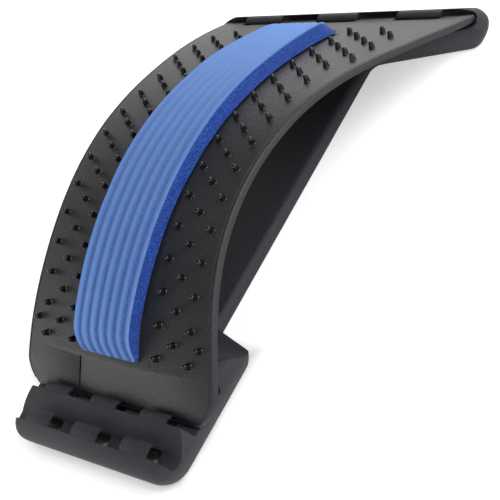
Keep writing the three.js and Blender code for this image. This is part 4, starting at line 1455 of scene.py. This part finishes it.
def foam_material(top, cut):
    """Foam with a painted highlight on the crests of its ribs and painted shade in their grooves, and
    deeper cut sides with pale opened cells.

    The strip's own attributes say where it is cut and how high a place lies on a rib.
    """
    material, tree, shader = blank_material("foam", roughness=0.86, gloss=0.22)
    cells = effect(tree, foam_cells, scale=1250.0)
    drift = effect(tree, handling, scale=22.0, amount=0.35)["Factor"]
    crest, side = (tree.nodes.new("ShaderNodeAttribute") for _ in range(2))
    crest.attribute_name, side.attribute_name = "crest", "side"
    # Painted shade for the grooves and a painted highlight for the crests, mixed by how near a place
    # lies to a crest
    groove = tinted(top, times=(0.2, 0.34, 0.56))
    crown = tinted(top, times=even(1.3), plus=even(0.012))
    opened = tinted(cut, times=even(2), plus=(0.03, 0.07, 0.12))
    ribs = mix(tree, groove, crown, crest.outputs["Fac"])
    ribs = mix(tree, ribs, crown, calc(tree, "MULTIPLY", cells["Walls"], RIB_CELLS))
    cut_side = mix(tree, tinted(cut), opened, calc(tree, "MULTIPLY", cells["Walls"], CUT_CELLS))
    both = mix(tree, ribs, cut_side, side.outputs["Fac"])
    hold = calc(tree, "MULTIPLY_ADD", drift, DRIFT_SHADE, LEAST_SHADE)
    feed(tree, shader.inputs["Base Color"], mix(tree, both, tinted(top, times=even(0.8)), hold))
    rough = calc(tree, "MULTIPLY_ADD", cells["Walls"], WALL_ROUGH, LEAST_ROUGH)
    feed(tree, shader.inputs["Roughness"], rough)
    shader.inputs["Sheen Weight"].default_value = 0.08
    shader.inputs["Sheen Roughness"].default_value = 0.5
    bump(tree, shader, cells["Height"], distance=0.0004, strength=0.7)
    return material


def film_material(tint):
    material, tree, shader = blank_material("adhesive", roughness=0.8, gloss=0.5)
    shade, drift = drifting(tree, tint, low=0.9, scale=40.0, amount=0.6)
    feed(tree, shader.inputs["Base Color"], shade)
    bump(tree, shader, drift, distance=0.0001)
    return material


def floor_material(tint, stage, rack_half):
    """Pale floor with a glow of its own, as on a light table, except under the rack and its holes"""
    material, tree, shader = blank_material("floor", roughness=0.9, gloss=0.1)
    shade, _ = drifting(tree, tint, low=0.98, scale=3.0, amount=0.2)
    feed(tree, shader.inputs["Base Color"], shade)
    where = tree.nodes.new("ShaderNodeSeparateXYZ")
    feed(tree, where.inputs[0], places_on(tree))
    front = BASE_BOX[0].y
    across = calc(tree, "ABSOLUTE", where.outputs["X"])
    beside = calc(tree, "SUBTRACT", across, rack_half - stage.shade_inset)
    behind = calc(tree, "SUBTRACT", where.outputs["Y"], front + stage.shade_length)
    ahead = calc(tree, "SUBTRACT", front + stage.shade_inset, where.outputs["Y"])
    outside = calc(tree, "MAXIMUM", calc(tree, "MAXIMUM", behind, ahead), beside)
    lit = held(tree, calc(tree, "DIVIDE", outside, stage.shade_inset))
    feed(tree, shader.inputs["Emission Color"], lit)
    shader.inputs["Emission Strength"].default_value = stage.glow
    return material


# Operators

# Name, place and size of each light; its power is the stage's setting of that name
LIGHTS = (
    ("back", (-0.5, 1.6, 0.75), 1.2),
    ("front", (0.35, -1.7, 0.8), 1.0),
    ("left", (-1.6, -1.3, 0.25), 1.0),
    ("right", (1.3, 0.35, 1.15), 1.1),
    ("spot", (-0.55, -0.1, 1.6), 0.22),
)
LIGHT_AIM = Vector((0, 0, 0.04))
CAMERA_PLACE = Vector((0.6134, -0.3312, 0.5333))
CAMERA_RIGHT = Vector((0.7151, 0.4701, -0.5174))
CAMERA_DOWN = Vector((0.1007, -0.8017, -0.5893))
SENSOR_WIDTH = 36


class STRETCHER_OT_base(bpy.types.Operator):
    """Builds the moulded base with its rack, waist bar, rear seat and ribs"""

    bl_idname = "stretcher.base"
    bl_label = "Base"

    def execute(self, context):
        scene = context.scene
        finish = moulded_plastic("base_plastic", scene.stretcher_colours.base)
        dress(build_base(scene.stretcher_base), "base", "base_plastic", finish, "base_frame")
        return {"FINISHED"}


class STRETCHER_OT_plate(bpy.types.Operator):
    """Builds the sprung plate with its rim, notches and bare panel"""

    bl_idname = "stretcher.plate"
    bl_label = "Plate"

    def execute(self, context):
        scene = context.scene
        plate = build_plate(scene.stretcher_arch, scene.stretcher_base)
        finish = moulded_plastic("plate_plastic", scene.stretcher_colours.plate)
        dress(plate, "arch", "plate_plastic", finish, "arch_plate")
        return {"FINISHED"}


class STRETCHER_OT_nubs(bpy.types.Operator):
    """Builds the polished nubs that stand on the plate"""

    bl_idname = "stretcher.nubs"
    bl_label = "Nubs"

    def execute(self, context):
        scene = context.scene
        nubs = build_nubs(scene.stretcher_nubs, scene.stretcher_arch, scene.stretcher_base)
        rubbed = moulded_plastic("nub_plastic", scene.stretcher_colours.nub)
        dress(nubs, "arch", "plate_plastic", rubbed)
        return {"FINISHED"}


class STRETCHER_OT_foam(bpy.types.Operator):
    """Builds the ribbed foam strip and finishes the adhesive sheet under it"""

    bl_idname = "stretcher.foam"
    bl_label = "Foam strip"

    def execute(self, context):
        scene = context.scene
        colours = scene.stretcher_colours
        strip = build_foam(scene.stretcher_foam, scene.stretcher_arch, scene.stretcher_base)
        dress(strip, "arch", "foam", foam_material(colours.foam, colours.foam_cut), "foam_pad")
        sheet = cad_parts["pad_adhesive_sheet"]
        sheet.data.materials.clear()
        sheet.data.materials.append(film_material(colours.film))
        return {"FINISHED"}


class STRETCHER_OT_feet(bpy.types.Operator):
    """Builds the four rubber feet: one is modelled and copied"""

    bl_idname = "stretcher.feet"
    bl_label = "Feet"

    def execute(self, context):
        feet = context.scene.stretcher_feet
        rubber = moulded_plastic("foot_rubber", context.scene.stretcher_colours.rubber)
        half = (FOOT_BOX[1] - FOOT_BOX[0]) / 2
        master = cylinder(feet.sides, half.x, -half.z, half.z)
        edit(master)
        choose(lambda co: co.z < 0)
        bpy.ops.mesh.bevel(offset=feet.edge, segments=FOOT_STEPS, affect="EDGES")
        choose(lambda co: co.z < -half.z + WELD)
        bpy.ops.mesh.inset(thickness=feet.ring)
        pull_out(z=feet.hollow)
        close_up(master)
        found = foot_places()
        for name, foot in zip(found, copies(master, found.values())):
            foot.name = f"rubber_{name}"
            pick(foot)
            smooth(FOOT_LIMIT)
            dress(foot, "base", "foot_rubber", rubber, name)
        return {"FINISHED"}


class STRETCHER_OT_stage(bpy.types.Operator):
    """Sets the floor, the lights and the camera"""

    bl_idname = "stretcher.stage"
    bl_label = "Stage"

    def execute(self, context):
        scene = context.scene
        stage = scene.stretcher_stage
        release()
        bpy.ops.mesh.primitive_plane_add(size=stage.floor_size)
        floor = bpy.context.object
        floor.name = "floor"
        finish = floor_material(scene.stretcher_colours.floor, stage, scene.stretcher_base.front_half)
        floor.data.materials.append(finish)
        set_sky(scene, stage)
        for name, place, size in LIGHTS:
            release()
            bpy.ops.object.light_add(type="AREA", location=place)
            lamp = bpy.context.object
            lamp.name = name
            lamp.data.size = size
            lamp.data.energy = getattr(stage, name)
            lamp.rotation_euler = (LIGHT_AIM - Vector(place)).to_track_quat("-Z", "Y").to_euler()
        set_camera(scene, stage)
        scene.view_settings.view_transform = "Standard"
        return {"FINISHED"}


def set_sky(scene, stage):
    """Pale studio walls that fade to a dark ceiling"""
    world = bpy.data.worlds.new("studio")
    scene.world = world
    world.use_nodes = True
    tree = world.node_tree
    way = tree.nodes.new("ShaderNodeSeparateXYZ")
    feed(tree, way.inputs[0], tree.nodes.new("ShaderNodeTexCoord").outputs["Generated"])
    fade = tree.nodes.new("ShaderNodeMapRange")
    fade.interpolation_type = "SMOOTHSTEP"
    for label, value in (
        ("From Min", stage.wall_top),
        ("From Max", stage.ceiling),
        ("To Min", stage.walls),
        ("To Max", stage.sky),
    ):
        fade.inputs[label].default_value = value
    feed(tree, fade.inputs["Value"], way.outputs["Z"])
    sky = tree.nodes["Background"]
    sky.inputs["Color"].default_value = (1, 1, 1, 1)
    feed(tree, sky.inputs["Strength"], fade.outputs["Result"])


def set_camera(scene, stage):
    """The camera where the photo was taken from"""
    ahead = CAMERA_RIGHT.cross(CAMERA_DOWN).normalized()
    turned = Matrix((CAMERA_RIGHT, -CAMERA_DOWN, -ahead)).transposed()
    camera = bpy.data.objects.new("camera", bpy.data.cameras.new("camera"))
    camera.data.lens = stage.lens
    camera.data.sensor_width = SENSOR_WIDTH
    camera.matrix_world = Matrix.Translation(CAMERA_PLACE) @ turned.to_4x4()
    scene.collection.objects.link(camera)
    scene.camera = camera


class STRETCHER_PT_parts(bpy.types.Panel):
    """Lists the pieces of the stretcher and their sizes"""

    bl_label = "Back stretcher"
    bl_space_type = "VIEW_3D"
    bl_region_type = "UI"
    bl_category = "Stretcher"

    def draw(self, context):
        for operator in OPERATORS:
            self.layout.operator(operator.bl_idname)
        for pointer, group in GROUPS.items():
            box = self.layout.box()
            box.label(text=group.__doc__)
            for key in group.__annotations__:
                box.prop(getattr(context.scene, pointer), key)


OPERATORS = (
    STRETCHER_OT_stage,
    STRETCHER_OT_base,
    STRETCHER_OT_plate,
    STRETCHER_OT_nubs,
    STRETCHER_OT_foam,
    STRETCHER_OT_feet,
)
GROUPS = {
    "stretcher_base": BaseSizes,
    "stretcher_arch": ArchSizes,
    "stretcher_nubs": NubSizes,
    "stretcher_foam": FoamSizes,
    "stretcher_feet": FootSizes,
    "stretcher_colours": FinishColours,
    "stretcher_stage": StageSettings,
}


def register():
    for pointer, group in GROUPS.items():
        bpy.utils.register_class(group)
        setattr(bpy.types.Scene, pointer, PointerProperty(type=group))
    for shown in (*OPERATORS, STRETCHER_PT_parts):
        bpy.utils.register_class(shown)


def unregister():
    for shown in (STRETCHER_PT_parts, *reversed(OPERATORS)):
        bpy.utils.unregister_class(shown)
    for pointer, group in reversed(GROUPS.items()):
        delattr(bpy.types.Scene, pointer)
        bpy.utils.unregister_class(group)


def main():
    register()
    bpy.ops.stretcher.stage()
    bpy.ops.stretcher.base()
    bpy.ops.stretcher.plate()
    bpy.ops.stretcher.nubs()
    bpy.ops.stretcher.foam()
    bpy.ops.stretcher.feet()


if __name__ == "__main__":
    main()
